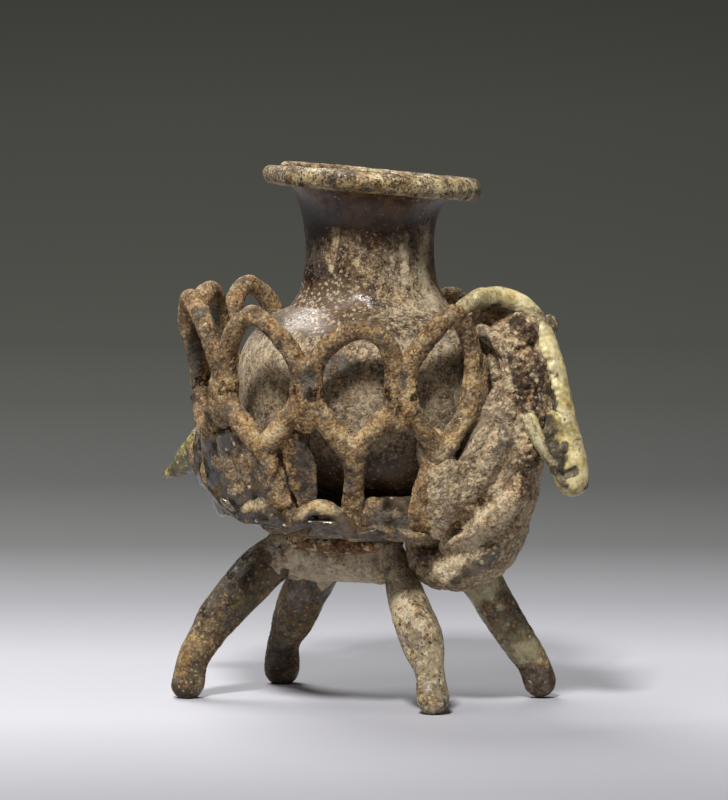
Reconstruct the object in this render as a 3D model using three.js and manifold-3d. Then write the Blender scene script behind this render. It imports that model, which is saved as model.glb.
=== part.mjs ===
// A blown glass flask in an open cage of trailed glass loops, on the back of a four-legged animal.
// Millimetres, +Z up, +X towards the animal's head, -Y its right flank. Everything stands on z = 0.
// On the real object the pieces are fused hot. Here each is its own solid, and neighbours stop a gap apart.

import * as THREE from 'three';
import * as BufferGeometryUtils from 'three/addons/utils/BufferGeometryUtils.js';
import Module from 'manifold-3d';

// Gap between two pieces that are fused on the real object
const fuseGap = 0.3;

// Belly bar, pad and tray, stacked from the ground up
const bellyHeight = 27.4;
const bellyRadius = 4.5;
const bellyRearInset = 5.5;
const bellyFrontInset = 23.5;
const bellySag = 0.2;
const padRise = 2.4;
const padWidth = 13;
const padShift = 4;
const padLift = 0.48;
const trayFloor = 1.9;
const trayWall = 1.7;
const trayRadius = 27;
const trayDepth = 7.8;
const trayX = -4;
const trayScallop = 0.8;
const trayTailReach = 6;
const trayTailLift = 8;

// The tray's section from its middle to its brim, as shares [radius, height]. Inside, the height counts from
// the floor and the radius is less the wall.
const trayOutsideShape = [
  [0.5, 0],
  [0.76, 0.09],
  [0.91, 0.32],
  [0.98, 0.65],
  [1, 1],
];
const trayInsideShape = [
  [0.84, 0.21],
  [0.96, 0.6],
];
const trayFlatShare = 0.6;

// Flask
const flaskWall = 1.7;
const bodyRadius = 27.5;
const bodyLowerHeight = 27.4;
const bodyUpperHeight = 19.6;
const neckRadius = 13.4;
const neckFlare = 3;
const neckLength = 27.4;
const mouthRadius = 19.9;
const mouthSlope = -0.09;
const mouthClear = 2;
const rimTrailRadius = 2;
const rimTrailDrop = 2.3;
const rimTrailReach = 0.5;

// Bowl and shoulder are squared-off ellipses: 2 is a true ellipse, more is squarer
const bowlPower = 2.25;
const shoulderPower = 2.7;

// The flask's neck: [share of its length, how much wider than the throat]
const throatShare = 0.52;
const throatShape = [
  [0.18, 0.5],
  [throatShare, 0],
  [0.78, 1.6],
];
const mouthLipShare = 0.93;
const mouthLipTuck = 1.6;

// Cage: loops above the nodes, forks below them. Angles run from the right flank (0) towards the head (90).
const cageX = -4;
const cageStand = 4.5;
const cageForkTuck = 1.6;
const strandRadius = 1.95;
const forkRadius = 2.3;
const stemRadius = 1.9;
const nodeRise = 27.6;
const nodeMerge = 1.45;
const springRise = 4.5;
const archPower = 1.1;
const strandOverrun = 2;
const armOverrun = 1.5;
const endBayOpening = 8;
const nodeAngles = [74, 42.8, 10.3, -25.5, -62, -101, -132, -169, -207, -246];

// One entry per bay: apex height above the nodes, how round the loop's head is (1 pointed, 2 elliptical),
// how far its apex lies to one side (skew) and out from the nodes (lean), and the drop from nodes to crotch
const bays = [
  { apexRise: 17.6, roundness: 1.15, skew: -1.6, lean: 2, crotchDrop: 11.4 },
  { apexRise: 14.6, roundness: 1.8, skew: -1.8, lean: 2, crotchDrop: 10.6 },
  { apexRise: 17.4, roundness: 1.25, skew: 0.4, lean: 2, crotchDrop: 9.6 },
  { apexRise: 19.4, roundness: 1.6, skew: 0.5, lean: 1.8, crotchDrop: 9.5 },
  { apexRise: 20, roundness: 1.7, skew: 2.4, lean: -0.6, crotchDrop: 8.5 },
  { apexRise: 20.2, roundness: 1.8, skew: -0.6, lean: 2, crotchDrop: 9.5 },
  { apexRise: 19, roundness: 1.6, skew: -1, lean: 2.2, crotchDrop: 10 },
  { apexRise: 18, roundness: 1.4, skew: 1.2, lean: 1.8, crotchDrop: 10.4 },
  { apexRise: 17.5, roundness: 1.5, skew: 0, lean: 2, crotchDrop: 9.8 },
];

// A fork's arm between node and crotch: shares of [half the bay's width, the drop, the tuck under the tray]
const armShape = [
  [0.86, 0.2, 0],
  [0.36, 0.7, 0.6],
];
const stemBrimStand = 0.8;
const stemFootStand = 0.5;
const stemFootRadius = 0.95;
const stemFootHeight = 0.3;

// Legs. Each starts from an end of the belly, or from the flask's front, and has centre line points
// [x from there, y, share of the height under the tray, radius], then a foot [x from there, y, radius].
const bellyRear = bellyRearInset - bodyRadius;
const bellyFront = bodyRadius - bellyFrontInset;
const soleDepth = 0.5;
const groundSize = 300;
const groundDepth = 20;
const legs = {
  leg_rear_right: {
    anchor: bellyRear,
    line: [
      [1.5, -2.5, 0.805, 4.6],
      [-2.5, -5.5, 0.714, 4.6],
      [-7.7, -11, 0.484, 4.3],
      [-11.3, -14.4, 0.268, 3.1],
    ],
    foot: [-12.8, -15.6, 3.2],
  },
  leg_rear_left: {
    anchor: bellyRear,
    line: [
      [8.4, 2.6, 0.77, 5],
      [5.1, 5, 0.653, 5],
      [0.1, 9, 0.449, 4.5],
      [-4.1, 12.5, 0.277, 3.5],
    ],
    foot: [-5.8, 14.4, 3.8],
  },
  leg_front_right: {
    anchor: bellyFront,
    line: [
      [3.2, -4.4, 0.915, 2.3],
      [5.9, -6.6, 0.787, 3.1],
      [9.8, -9.7, 0.612, 4],
      [13.7, -12.6, 0.426, 4.4],
      [16.8, -15, 0.257, 3.5],
    ],
    foot: [18, -16, 3.3],
  },
  leg_front_left: {
    anchor: bodyRadius,
    line: [
      [-5.7, 3.4, 0.816, 4.4],
      [-2.7, 7.4, 0.606, 4],
      [0.5, 12, 0.367, 3.6],
      [2.5, 15.2, 0.204, 3.1],
    ],
    foot: [3.7, 17, 3.3],
  },
};

// Neck and chest: [x beyond the flask's body, share of the climb from tray to cage top, radius]
const neckLine = [
  [-14.5, -0.017, 3.8],
  [-12.5, -0.103, 4.6],
  [-7.1, -0.12, 5],
  [-1.1, -0.04, 5.4],
  [2.7, 0.141, 5.4],
  [5.2, 0.331, 5.1],
  [7.6, 0.5, 4.7],
  [8.6, 0.669, 4.4],
  [6.9, 0.829, 4],
  [1.9, 0.96, 3.2],
];
const neckBreadth = 1.8;

// The pale trail that makes the head, and its end folded back under as the jaw. The trail starts beside the
// first loop's apex. Its other points are [x beyond the flask's body, y, height from the cage top, radius].
const headStart = [0.13, 3.37, 0.9, 1.9];
const headLine = [
  [1.5, -9.4, 3.1, 2.2],
  [4.5, -4, 2.7, 2.4],
  [8.5, -1, -1.1, 2.3],
  [12.7, 0, -7.3, 2.3],
  [15.7, 0, -15.1, 2.3],
  [16.9, 0, -24.1, 2.4],
  [18.7, 0, -31.7, 2.9],
  [18.1, 0, -35.3, 3.1],
];
const jawLine = [
  [16.7, -0.5, -34.7, 2.6],
  [13.6, -1.4, -31.4, 2.1],
  [11.2, -2.4, -26.3, 1.9],
  [9.4, -3, -21.1, 1.6],
];
const earPlace = [12.1, 3.4, -3.1];
const earSize = [1.7, 2.6, 2.4];

// Tail, from the tray's brim at the rear
const tailAngle = -90;
const tailRoot = [-3.76, 0, -2.5];
const tailRootSize = [3.6, 4.4, 5];
const tailLine = [
  [-4.16, 0, -3.1, 3],
  [-8.16, 0, -4.5, 1.8],
  [-11.56, 0, -5.9, 0.5],
];

// How finely round things are divided
const latheSides = 30;
const bowlSteps = 8;
const shoulderSteps = 5;
const throatSteps = 9;
const blobSides = 12;
const blobRings = 8;
const coarse = { steps: 4, sides: 7 };
const loopFineness = { steps: 16, sides: 7 };
const headFineness = { steps: 14, sides: 7 };
const bellyFineness = { steps: 12, sides: 12 };
const neckFineness = { steps: 18, sides: 12 };
const legFineness = { steps: 10, sides: 10 };
const loopHeadSteps = 8;
const rimSides = 7;

// Heights that follow from the stack
const trayBottom = bellyHeight + bellyRadius + padRise;
const trayBrim = trayBottom + trayDepth;
const flaskFoot = trayBottom + trayFloor + fuseGap;
const bodyMiddle = flaskFoot + bodyLowerHeight;
const cageRadius = bodyRadius + cageStand + strandRadius;
const nodeHeight = flaskFoot + nodeRise;
const cageTop = nodeHeight + bays[0].apexRise;

const wasm = await Module();
wasm.setup();

// A closed geometry as a solid that can be joined and cut
function solidOf(geometry) {
  const bare = geometry.clone();
  bare.deleteAttribute('normal');
  bare.deleteAttribute('uv');
  const merged = BufferGeometryUtils.mergeVertices(bare, 1e-4);
  const index = merged.index.array;
  const triangles = [];
  for (let i = 0; i < index.length; i += 3) {
    const [a, b, c] = [index[i], index[i + 1], index[i + 2]];
    if (a !== b && b !== c && c !== a) {
      triangles.push(a, b, c);
    }
  }
  const mesh = new wasm.Mesh({
    numProp: 3,
    vertProperties: new Float32Array(merged.attributes.position.array),
    triVerts: new Uint32Array(triangles),
  });
  return new wasm.Manifold(mesh);
}

function geometryOf(solid) {
  const mesh = solid.getMesh();
  const geometry = new THREE.BufferGeometry();
  geometry.setAttribute('position', new THREE.BufferAttribute(mesh.vertProperties, 3));
  geometry.setIndex(new THREE.BufferAttribute(mesh.triVerts, 1));
  geometry.computeVertexNormals();
  return geometry;
}

function cut(solid, ...tools) {
  return tools.reduce((left, tool) => left.subtract(tool), solid);
}

// A drawn trail of glass: round sections along a curve through [x, y, z, radius] points, with round ends.
// grow thickens it all over, which makes the cutter for a neighbour that stops a gap away.
function trail(line, { steps, sides }, grow = 0) {
  const places = line.map(([x, y, z]) => new THREE.Vector3(x, y, z));
  const curve = new THREE.CatmullRomCurve3(places, false, 'centripetal');
  const frames = curve.computeFrenetFrames(steps, false);
  const radiusAt = (u) => {
    const place = curve.getUtoTmapping(u) * (line.length - 1);
    const before = Math.min(Math.floor(place), line.length - 2);
    return THREE.MathUtils.lerp(line[before][3], line[before + 1][3], place - before) + grow;
  };
  const rings = [];
  const ring = (step, radius, ahead) => {
    const centre = curve.getPointAt(step / steps).addScaledVector(frames.tangents[step], ahead);
    rings.push({ centre, radius, normal: frames.normals[step], binormal: frames.binormals[step] });
  };
  const capAngles = [60, 30].map(THREE.MathUtils.degToRad);
  const first = radiusAt(0);
  const last = radiusAt(1);
  capAngles.forEach((angle) => ring(0, first * Math.cos(angle), -first * Math.sin(angle)));
  for (let step = 0; step <= steps; step += 1) {
    ring(step, radiusAt(step / steps), 0);
  }
  capAngles.reverse().forEach((angle) => ring(steps, last * Math.cos(angle), last * Math.sin(angle)));

  const positions = [];
  const index = [];
  rings.forEach(({ centre, radius, normal, binormal }) => {
    for (let side = 0; side < sides; side += 1) {
      const turn = (2 * Math.PI * side) / sides;
      const point = centre.clone();
      point.addScaledVector(normal, radius * Math.cos(turn));
      point.addScaledVector(binormal, radius * Math.sin(turn));
      positions.push(...point);
    }
  });
  const start = curve.getPointAt(0).addScaledVector(frames.tangents[0], -first);
  const end = curve.getPointAt(1).addScaledVector(frames.tangents[steps], last);
  positions.push(...start, ...end);
  const startPole = rings.length * sides;
  const endPole = startPole + 1;
  for (let side = 0; side < sides; side += 1) {
    const next = (side + 1) % sides;
    index.push(startPole, next, side);
    for (let r = 0; r < rings.length - 1; r += 1) {
      const low = r * sides;
      const high = low + sides;
      index.push(low + side, low + next, high + side);
      index.push(low + next, high + next, high + side);
    }
    const top = (rings.length - 1) * sides;
    index.push(endPole, top + side, top + next);
  }
  const geometry = new THREE.BufferGeometry();
  geometry.setAttribute('position', new THREE.BufferAttribute(new Float32Array(positions), 3));
  geometry.setIndex(index);
  return geometry;
}

function blob(place, size) {
  const geometry = new THREE.SphereGeometry(1, blobSides, blobRings);
  geometry.scale(...size);
  geometry.translate(...place);
  return geometry;
}

// A profile moved sideways by a distance: outwards if positive. Points on the axis stay on it.
function offsetProfile(points, distance) {
  return points.map((point, i) => {
    const before = points[Math.max(i - 1, 0)];
    const after = points[Math.min(i + 1, points.length - 1)];
    const along = after.clone().sub(before).normalize();
    const moved = new THREE.Vector2(point.x + along.y * distance, point.y - along.x * distance);
    if (point.x === 0) {
      return new THREE.Vector2(0, point.y - distance);
    }
    return new THREE.Vector2(Math.max(moved.x, 0), moved.y);
  });
}

// Turns a [radius, height] profile about Z, which LatheGeometry does about Y
function turned(profile) {
  const geometry = new THREE.LatheGeometry(profile, latheSides);
  geometry.rotateX(Math.PI / 2);
  return geometry;
}

// The flask's outside: a squared-off ellipse for the bowl and shoulder, then a curve through throat and mouth
function flaskProfile() {
  const points = [];
  for (let i = 0; i <= bowlSteps; i += 1) {
    const angle = (Math.PI / 2) * (i / bowlSteps);
    const radius = i === 0 ? 0 : bodyRadius * Math.sin(angle) ** (2 / bowlPower);
    const height = bodyMiddle - bodyLowerHeight * Math.max(Math.cos(angle), 0) ** (2 / bowlPower);
    points.push(new THREE.Vector2(radius, height));
  }
  const shoulderRadius = neckRadius + neckFlare;
  const shoulderEnd = Math.acos((shoulderRadius / bodyRadius) ** (shoulderPower / 2));
  for (let i = 1; i <= shoulderSteps; i += 1) {
    const angle = (shoulderEnd * i) / shoulderSteps;
    const radius = bodyRadius * Math.cos(angle) ** (2 / shoulderPower);
    const height = bodyMiddle + bodyUpperHeight * Math.sin(angle) ** (2 / shoulderPower);
    points.push(new THREE.Vector2(radius, height));
  }
  const foot = points[points.length - 1].y;
  const upper = new THREE.SplineCurve([
    new THREE.Vector2(shoulderRadius, foot),
    ...throatShape.map(([share, wider]) => new THREE.Vector2(neckRadius + wider, foot + share * neckLength)),
    new THREE.Vector2(mouthRadius - mouthLipTuck, foot + mouthLipShare * neckLength),
    new THREE.Vector2(mouthRadius, foot + neckLength),
  ]);
  return [...points, ...upper.getPoints(throatSteps).slice(1)];
}

const flaskOutside = flaskProfile();
const mouthHeight = flaskOutside[flaskOutside.length - 1].y;
const throatHeight = mouthHeight - (1 - throatShare) * neckLength;

// The mouth slopes down towards the head. The slope fades out down the neck.
function tiltMouth(geometry) {
  const position = geometry.attributes.position;
  for (let i = 0; i < position.count; i += 1) {
    const share = THREE.MathUtils.smoothstep(position.getZ(i), throatHeight, mouthHeight - rimTrailDrop);
    position.setZ(i, position.getZ(i) + mouthSlope * position.getX(i) * share);
  }
  return geometry;
}

function flaskSolid() {
  const inside = offsetProfile(flaskOutside, -flaskWall).reverse();
  return solidOf(tiltMouth(turned([...flaskOutside, ...inside])));
}

// The flask with its hollow filled, grown by the gap: it cuts whatever rests against the glass
function flaskCutter() {
  const outside = offsetProfile(flaskOutside, fuseGap);
  const top = new THREE.Vector2(0, mouthHeight + mouthClear);
  return solidOf(tiltMouth(turned([...outside, top])));
}

function rimTrail(flaskTool) {
  const ring = new THREE.TorusGeometry(mouthRadius + rimTrailReach, rimTrailRadius, rimSides, latheSides);
  ring.translate(0, 0, mouthHeight - rimTrailDrop);
  return cut(solidOf(tiltMouth(ring)), flaskTool);
}

// Where a direction from the cage's axis lies in its bay: the bay's number, and -1 to 1 from node to node
function bayAt(angle) {
  const count = nodeAngles.length;
  for (let bay = 0; bay < count; bay += 1) {
    const from = nodeAngles[bay];
    const to = bay + 1 < count ? nodeAngles[bay + 1] : nodeAngles[0] - 360;
    const below = THREE.MathUtils.euclideanModulo(from - angle, 360);
    if (below <= from - to) {
      return { bay, share: (2 * below) / (from - to) - 1 };
    }
  }
  return { bay: 0, share: 0 };
}

// The tray's surface: round, drawn out and lifted at the tail, and scalloped between the stems
function trayPoint(radius, height, angle) {
  const turn = THREE.MathUtils.degToRad(angle);
  const tailwards = Math.max(0, -Math.sin(turn)) ** 2;
  const brimwards = (radius / trayRadius) ** 2;
  const wave = -Math.cos(Math.PI * bayAt(angle).share);
  const reach = radius + (trayTailReach * tailwards + trayScallop * wave) * brimwards;
  return new THREE.Vector3(
    trayX + reach * Math.sin(turn),
    -reach * Math.cos(turn),
    height + trayTailLift * tailwards * brimwards,
  );
}

function trayOutside() {
  return [
    new THREE.Vector2(0, trayBottom),
    ...trayOutsideShape.map(([out, up]) => new THREE.Vector2(out * trayRadius, trayBottom + up * trayDepth)),
  ];
}

function shapeTray(profile) {
  const geometry = turned(profile);
  const position = geometry.attributes.position;
  for (let i = 0; i < position.count; i += 1) {
    const [x, y, z] = [position.getX(i), position.getY(i), position.getZ(i)];
    const angle = THREE.MathUtils.radToDeg(Math.atan2(x, -y));
    position.setXYZ(i, ...trayPoint(Math.hypot(x, y), z, angle));
  }
  return solidOf(geometry);
}

function traySolid(flaskTool) {
  const floor = trayBottom + trayFloor;
  const wall = trayInsideShape.map(([out, up]) => (
    new THREE.Vector2(out * trayRadius - trayWall, THREE.MathUtils.lerp(floor, trayBrim, up))
  ));
  const inside = [
    new THREE.Vector2(0, floor),
    new THREE.Vector2(trayFlatShare * trayRadius, floor),
    ...wall,
    new THREE.Vector2(trayRadius - trayWall, trayBrim),
  ];
  return cut(shapeTray([...trayOutside(), ...inside.reverse()]), flaskTool);
}

function trayCutter() {
  const outside = offsetProfile(trayOutside(), fuseGap);
  const top = new THREE.Vector2(0, trayBrim + fuseGap);
  return shapeTray([...outside, new THREE.Vector2(trayRadius + fuseGap, top.y), top]);
}

// A point of the cage, from its direction, its distance from the cage's axis and its height
function cagePoint(angle, radius, height) {
  const turn = THREE.MathUtils.degToRad(angle);
  return [cageX + radius * Math.sin(turn), -radius * Math.cos(turn), height];
}

// The wedge of space between two directions, with half the gap left free along both of its sides
function wedge(fromAngle, toAngle, bottom, top) {
  const half = (fromAngle - toAngle) / 2;
  const middle = (fromAngle + toAngle) / 2;
  const inset = fuseGap / 2 / Math.sin(THREE.MathUtils.degToRad(half));
  const far = 3 * cageRadius;
  const corner = (angle, radius) => {
    const [x, y] = cagePoint(angle, radius, 0);
    const [dx, dy] = cagePoint(middle, inset, 0);
    return new THREE.Vector2(x + dx - cageX, y + dy);
  };
  const shape = new THREE.Shape([corner(middle, 0), corner(toAngle, far), corner(fromAngle, far)]);
  const geometry = new THREE.ExtrudeGeometry(shape, { depth: top - bottom, bevelEnabled: false });
  geometry.translate(0, 0, bottom);
  return solidOf(geometry);
}

function bayEdges(bay) {
  const from = nodeAngles[bay];
  const to = nodeAngles[bay + 1];
  const halfWidth = cageRadius * THREE.MathUtils.degToRad((from - to) / 2);
  return { from, to, middle: (from + to) / 2, halfWidth };
}

// A place in a bay: along runs in mm from the bay's middle towards its second node
function bayPoint(edges, along, radius, height, strand) {
  const angle = edges.middle - ((along / edges.halfWidth) * (edges.from - edges.to)) / 2;
  return [...cagePoint(angle, radius, height), strand];
}

// A loop rises from one node, leans out over its apex and comes down to the next
function loopLine(bay) {
  const { apexRise, roundness, skew, lean } = bays[bay];
  const edges = bayEdges(bay);
  const leg = edges.halfWidth - nodeMerge;
  const rise = apexRise - springRise;
  const points = [];
  points.push(bayPoint(edges, -leg, cageRadius, nodeHeight - strandOverrun, strandRadius));
  for (let i = 0; i <= loopHeadSteps; i += 1) {
    const turn = (Math.PI * i) / loopHeadSteps;
    const across = -Math.sign(Math.cos(turn)) * Math.abs(Math.cos(turn)) ** (2 / roundness);
    const up = Math.max(Math.sin(turn), 0) ** archPower;
    const along = across * leg + skew * up * up;
    const radius = cageRadius + lean * up;
    points.push(bayPoint(edges, along, radius, nodeHeight + springRise + rise * up, strandRadius));
  }
  points.push(bayPoint(edges, leg, cageRadius, nodeHeight - strandOverrun, strandRadius));
  return points;
}

// A fork hangs from two nodes: its arms meet at the crotch and a stem goes down the outside of the tray
function forkLines(bay) {
  const { crotchDrop } = bays[bay];
  const edges = bayEdges(bay);
  const arm = edges.halfWidth - nodeMerge;
  const crotch = nodeHeight - crotchDrop;
  const crotchRadius = cageRadius - cageForkTuck;
  const armLine = (side) => [
    bayPoint(edges, side * arm, cageRadius, nodeHeight + armOverrun, forkRadius),
    ...armShape.map(([out, down, tuck]) => bayPoint(
      edges,
      side * out * arm,
      cageRadius - tuck * cageForkTuck,
      nodeHeight - down * crotchDrop,
      forkRadius,
    )),
    bayPoint(edges, 0, crotchRadius, crotch, forkRadius),
  ];
  const brim = trayPoint(trayRadius, trayBrim, edges.middle);
  const foot = trayPoint(stemFootRadius * trayRadius, trayBottom + stemFootHeight * trayDepth, edges.middle);
  const outward = new THREE.Vector3(...cagePoint(edges.middle, 1, 0)).sub(new THREE.Vector3(cageX, 0, 0));
  brim.addScaledVector(outward, stemBrimStand * stemRadius);
  foot.addScaledVector(outward, stemFootStand * stemRadius);
  const stemLine = [
    bayPoint(edges, 0, crotchRadius, crotch, forkRadius),
    [...brim, stemRadius],
    [...foot, stemRadius],
  ];
  return [armLine(-1), armLine(1), stemLine];
}

// Bays beside the neck have no neighbour there, so their wedge opens past the node
function bayWedge(bay, bottom, top) {
  const { from, to } = bayEdges(bay);
  const wideFrom = bay === 0 ? from + endBayOpening : from;
  const wideTo = bay === bays.length - 1 ? to - endBayOpening : to;
  return wedge(wideFrom, wideTo, bottom, top);
}

function loopSolid(bay, flaskTool) {
  const strand = solidOf(trail(loopLine(bay), loopFineness));
  const space = bayWedge(bay, nodeHeight + fuseGap / 2, mouthHeight);
  return cut(strand.intersect(space), flaskTool);
}

function joinedTrails(lines, fineness, grow = 0) {
  return lines.map((line) => solidOf(trail(line, fineness, grow))).reduce((joined, next) => joined.add(next));
}

function forkSolid(bay, flaskTool, trayTool) {
  const strands = joinedTrails(forkLines(bay), coarse);
  const space = bayWedge(bay, 0, nodeHeight - fuseGap / 2);
  return cut(strands.intersect(space), flaskTool, trayTool);
}

function bellyLine() {
  return [
    [bellyRear, 0, bellyHeight, bellyRadius],
    [(bellyRear + bellyFront) / 2, 0, bellyHeight - bellySag, bellyRadius],
    [bellyFront, 0, bellyHeight, bellyRadius],
  ];
}

// The lump that fuses the tray down on to the belly, before it is cut to their surfaces
function padBlob(grow = 0) {
  const place = [(bellyRear + bellyFront) / 2 + padShift, 0, bellyHeight + bellyRadius + padLift];
  const size = [(bellyFront - bellyRear) / 2 + grow, padWidth / 2 + grow, padRise + grow];
  return solidOf(blob(place, size));
}

function broadened(geometry) {
  geometry.scale(1, neckBreadth, 1);
  return geometry;
}

function neckBlank(grow) {
  const line = neckLine.map(([beyond, share, radius]) => (
    [bodyRadius + beyond, 0, THREE.MathUtils.lerp(trayBottom, cageTop, share), radius]
  ));
  return solidOf(broadened(trail(line, neckFineness, grow)));
}

function headPoint([beyond, y, up, radius]) {
  return [bodyRadius + beyond, y, cageTop + up, radius];
}

function headLines() {
  const { skew, lean } = bays[0];
  const [x, y, z] = bayPoint(bayEdges(0), skew, cageRadius + lean, cageTop, 0);
  const start = [x + headStart[0], y + headStart[1], z + headStart[2], headStart[3]];
  return [[start, ...headLine.map(headPoint)], jawLine.map(headPoint)];
}

function tailPoint([x, y, z, radius]) {
  const brim = trayPoint(trayRadius, trayBrim, tailAngle);
  return [brim.x + x, brim.y + y, brim.z + z, radius];
}

// A foot is a knob at the end of the leg, with a small flat sole on the ground
function legLine({ anchor, line, foot }) {
  const [footX, footY, footRadius] = foot;
  const upper = line.map(([x, y, share, radius]) => [anchor + x, y, share * trayBottom, radius]);
  return [...upper, [anchor + footX, footY, footRadius - soleDepth, footRadius]];
}

function legSolid(leg, ...tools) {
  const ground = new THREE.BoxGeometry(groundSize, groundSize, groundDepth);
  ground.translate(0, 0, -groundDepth / 2);
  return cut(solidOf(trail(legLine(leg), legFineness)), solidOf(ground), ...tools);
}

function material(color, roughness) {
  return new THREE.MeshStandardMaterial({ color, roughness, metalness: 0 });
}

const darkGlass = material(0x4a4238, 0.35);
const crustedGlass = material(0x6e5a41, 0.8);
const creamGlass = material(0xcdb98c, 0.6);
const paleGlass = material(0xd2c48f, 0.55);
const weatheredGlass = material(0x7a6a54, 0.7);
const oliveGlass = material(0x5c5a2c, 0.3);

function addPiece(group, name, solid, finish) {
  const mesh = new THREE.Mesh(geometryOf(solid), finish);
  mesh.name = name;
  group.add(mesh);
}

const flaskTool = flaskCutter();
const trayTool = trayCutter();
const bellyTool = solidOf(trail(bellyLine(), bellyFineness, fuseGap));
const neckTool = neckBlank(fuseGap);

const flask = new THREE.Group();
addPiece(flask, 'flask_body', flaskSolid(), darkGlass);
addPiece(flask, 'rim_trail', rimTrail(flaskTool), creamGlass);

const cage = new THREE.Group();
const strandTools = [];
bays.forEach((bay, i) => {
  addPiece(cage, `cage_loop_${i + 1}`, loopSolid(i, flaskTool), crustedGlass);
  addPiece(cage, `cage_fork_${i + 1}`, forkSolid(i, flaskTool, trayTool), crustedGlass);
});
[0, bays.length - 1].forEach((i) => {
  strandTools.push(solidOf(trail(loopLine(i), loopFineness, fuseGap)));
  strandTools.push(joinedTrails(forkLines(i), coarse, fuseGap));
});

const animal = new THREE.Group();
addPiece(animal, 'tray', traySolid(flaskTool), darkGlass);
addPiece(animal, 'belly', solidOf(trail(bellyLine(), bellyFineness)), weatheredGlass);
addPiece(animal, 'saddle_pad', cut(padBlob(), bellyTool, trayTool), crustedGlass);
const neck = cut(neckBlank(0), flaskTool, trayTool, bellyTool, ...strandTools);
addPiece(animal, 'neck', neck, weatheredGlass);
const padTool = padBlob(fuseGap);
Object.entries(legs).forEach(([name, leg]) => {
  addPiece(animal, name, legSolid(leg, bellyTool, padTool, trayTool, neckTool), weatheredGlass);
});
const head = joinedTrails(headLines(), headFineness);
addPiece(animal, 'head', cut(head, neckTool, ...strandTools), paleGlass);
const headTool = joinedTrails(headLines(), headFineness, fuseGap);
const ear = blob(headPoint(earPlace).slice(0, 3), earSize);
addPiece(animal, 'ear', cut(solidOf(ear), headTool), oliveGlass);
const tailFork = joinedTrails(forkLines(bayAt(tailAngle).bay), coarse, fuseGap);
const tailBlob = solidOf(blob(tailPoint(tailRoot).slice(0, 3), tailRootSize));
const tail = tailBlob.add(solidOf(trail(tailLine.map(tailPoint), coarse)));
addPiece(animal, 'tail', cut(tail, trayTool, tailFork), oliveGlass);

// The origin lies on the ground, under the middle of the whole piece
const root = new THREE.Group();
root.add(flask, cage, animal);
const extent = new THREE.Box3().setFromObject(root);
const centre = extent.getCenter(new THREE.Vector3());
root.position.set(-centre.x, -centre.y, -extent.min.z);

export default root;
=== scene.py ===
import math

import bpy
import numpy as np
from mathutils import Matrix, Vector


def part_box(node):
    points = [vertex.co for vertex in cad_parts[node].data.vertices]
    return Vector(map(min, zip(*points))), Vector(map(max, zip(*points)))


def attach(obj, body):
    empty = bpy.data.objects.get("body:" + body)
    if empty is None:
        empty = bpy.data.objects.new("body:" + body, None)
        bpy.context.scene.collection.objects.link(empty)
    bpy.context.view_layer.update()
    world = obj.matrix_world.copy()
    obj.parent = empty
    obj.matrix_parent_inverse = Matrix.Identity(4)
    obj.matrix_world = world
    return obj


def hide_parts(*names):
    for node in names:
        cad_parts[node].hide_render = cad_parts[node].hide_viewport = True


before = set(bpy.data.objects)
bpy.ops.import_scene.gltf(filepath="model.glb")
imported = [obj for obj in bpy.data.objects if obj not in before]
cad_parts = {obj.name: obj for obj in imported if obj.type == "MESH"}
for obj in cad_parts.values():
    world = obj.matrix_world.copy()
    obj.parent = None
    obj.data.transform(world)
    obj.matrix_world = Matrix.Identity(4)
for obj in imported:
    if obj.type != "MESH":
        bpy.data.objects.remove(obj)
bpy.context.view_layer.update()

# Shapes are worked out in millimetres and become metres when they are put into a mesh. The flask's axis stands in
# the middle of its CAD box.
flaskLow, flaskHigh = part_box("flask_body")
axisShift = np.array([(flaskLow.x + flaskHigh.x) * 500, (flaskLow.y + flaskHigh.y) * 500, 0.0])


# Curves and shells

def unit(vectors):
    return vectors / np.maximum(np.linalg.norm(vectors, axis=-1, keepdims=True), 1e-9)


def smoothStep(values, low, high):  # 0 below low, 1 above high, with an S between them
    share = np.clip((values - low) / (high - low), 0, 1)
    return share * share * (3 - 2 * share)


# Catmull-Rom cubic through the knots, then rows picked at even steps of its length
def splineThrough(knots, count):
    knots = np.array(knots, float)
    padded = np.vstack([2 * knots[0] - knots[1], knots, 2 * knots[-1] - knots[-2]])
    place = np.linspace(0, len(knots) - 1, count * 6)
    knot = np.minimum(place.astype(int), len(knots) - 2)
    share = (place - knot)[:, None]
    a, b, c, d = (padded[knot + k] for k in range(4))
    rows = 0.5 * (2 * b + (c - a) * share + (2 * a - 5 * b + 4 * c - d) * share ** 2
                  + (3 * b - a - 3 * c + d) * share ** 3)
    return evenRows(rows, count)


def evenRows(rows, count):
    steps = np.linalg.norm(np.diff(rows[:, :3], axis=0), axis=1)
    run = np.concatenate([[0], np.cumsum(steps)])
    places = np.linspace(0, run[-1], count)
    return np.stack([np.interp(places, run, column) for column in rows.T], axis=1)


# A grid of points, rows closed into rings, with a pole at each end. Faces are quads, poles are fans.
def ringShell(rings, startPole, endPole):
    count, sides = rings.shape[:2]
    points = np.vstack([rings.reshape(-1, 3), startPole, endPole])
    side = np.arange(sides)
    following = (side + 1) % sides
    base = (np.arange(count - 1) * sides)[:, None]
    quads = np.stack([base + side, base + following, base + sides + following, base + sides + side], axis=-1)
    quads = quads.reshape(-1, 4)
    top = (count - 1) * sides
    low, high = count * sides, count * sides + 1
    fans = np.vstack([
        np.stack([np.full(sides, low), following, side, side], axis=1),
        np.stack([np.full(sides, high), top + side, top + following, top + following], axis=1),
    ])
    return points, np.vstack([quads, fans])


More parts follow.
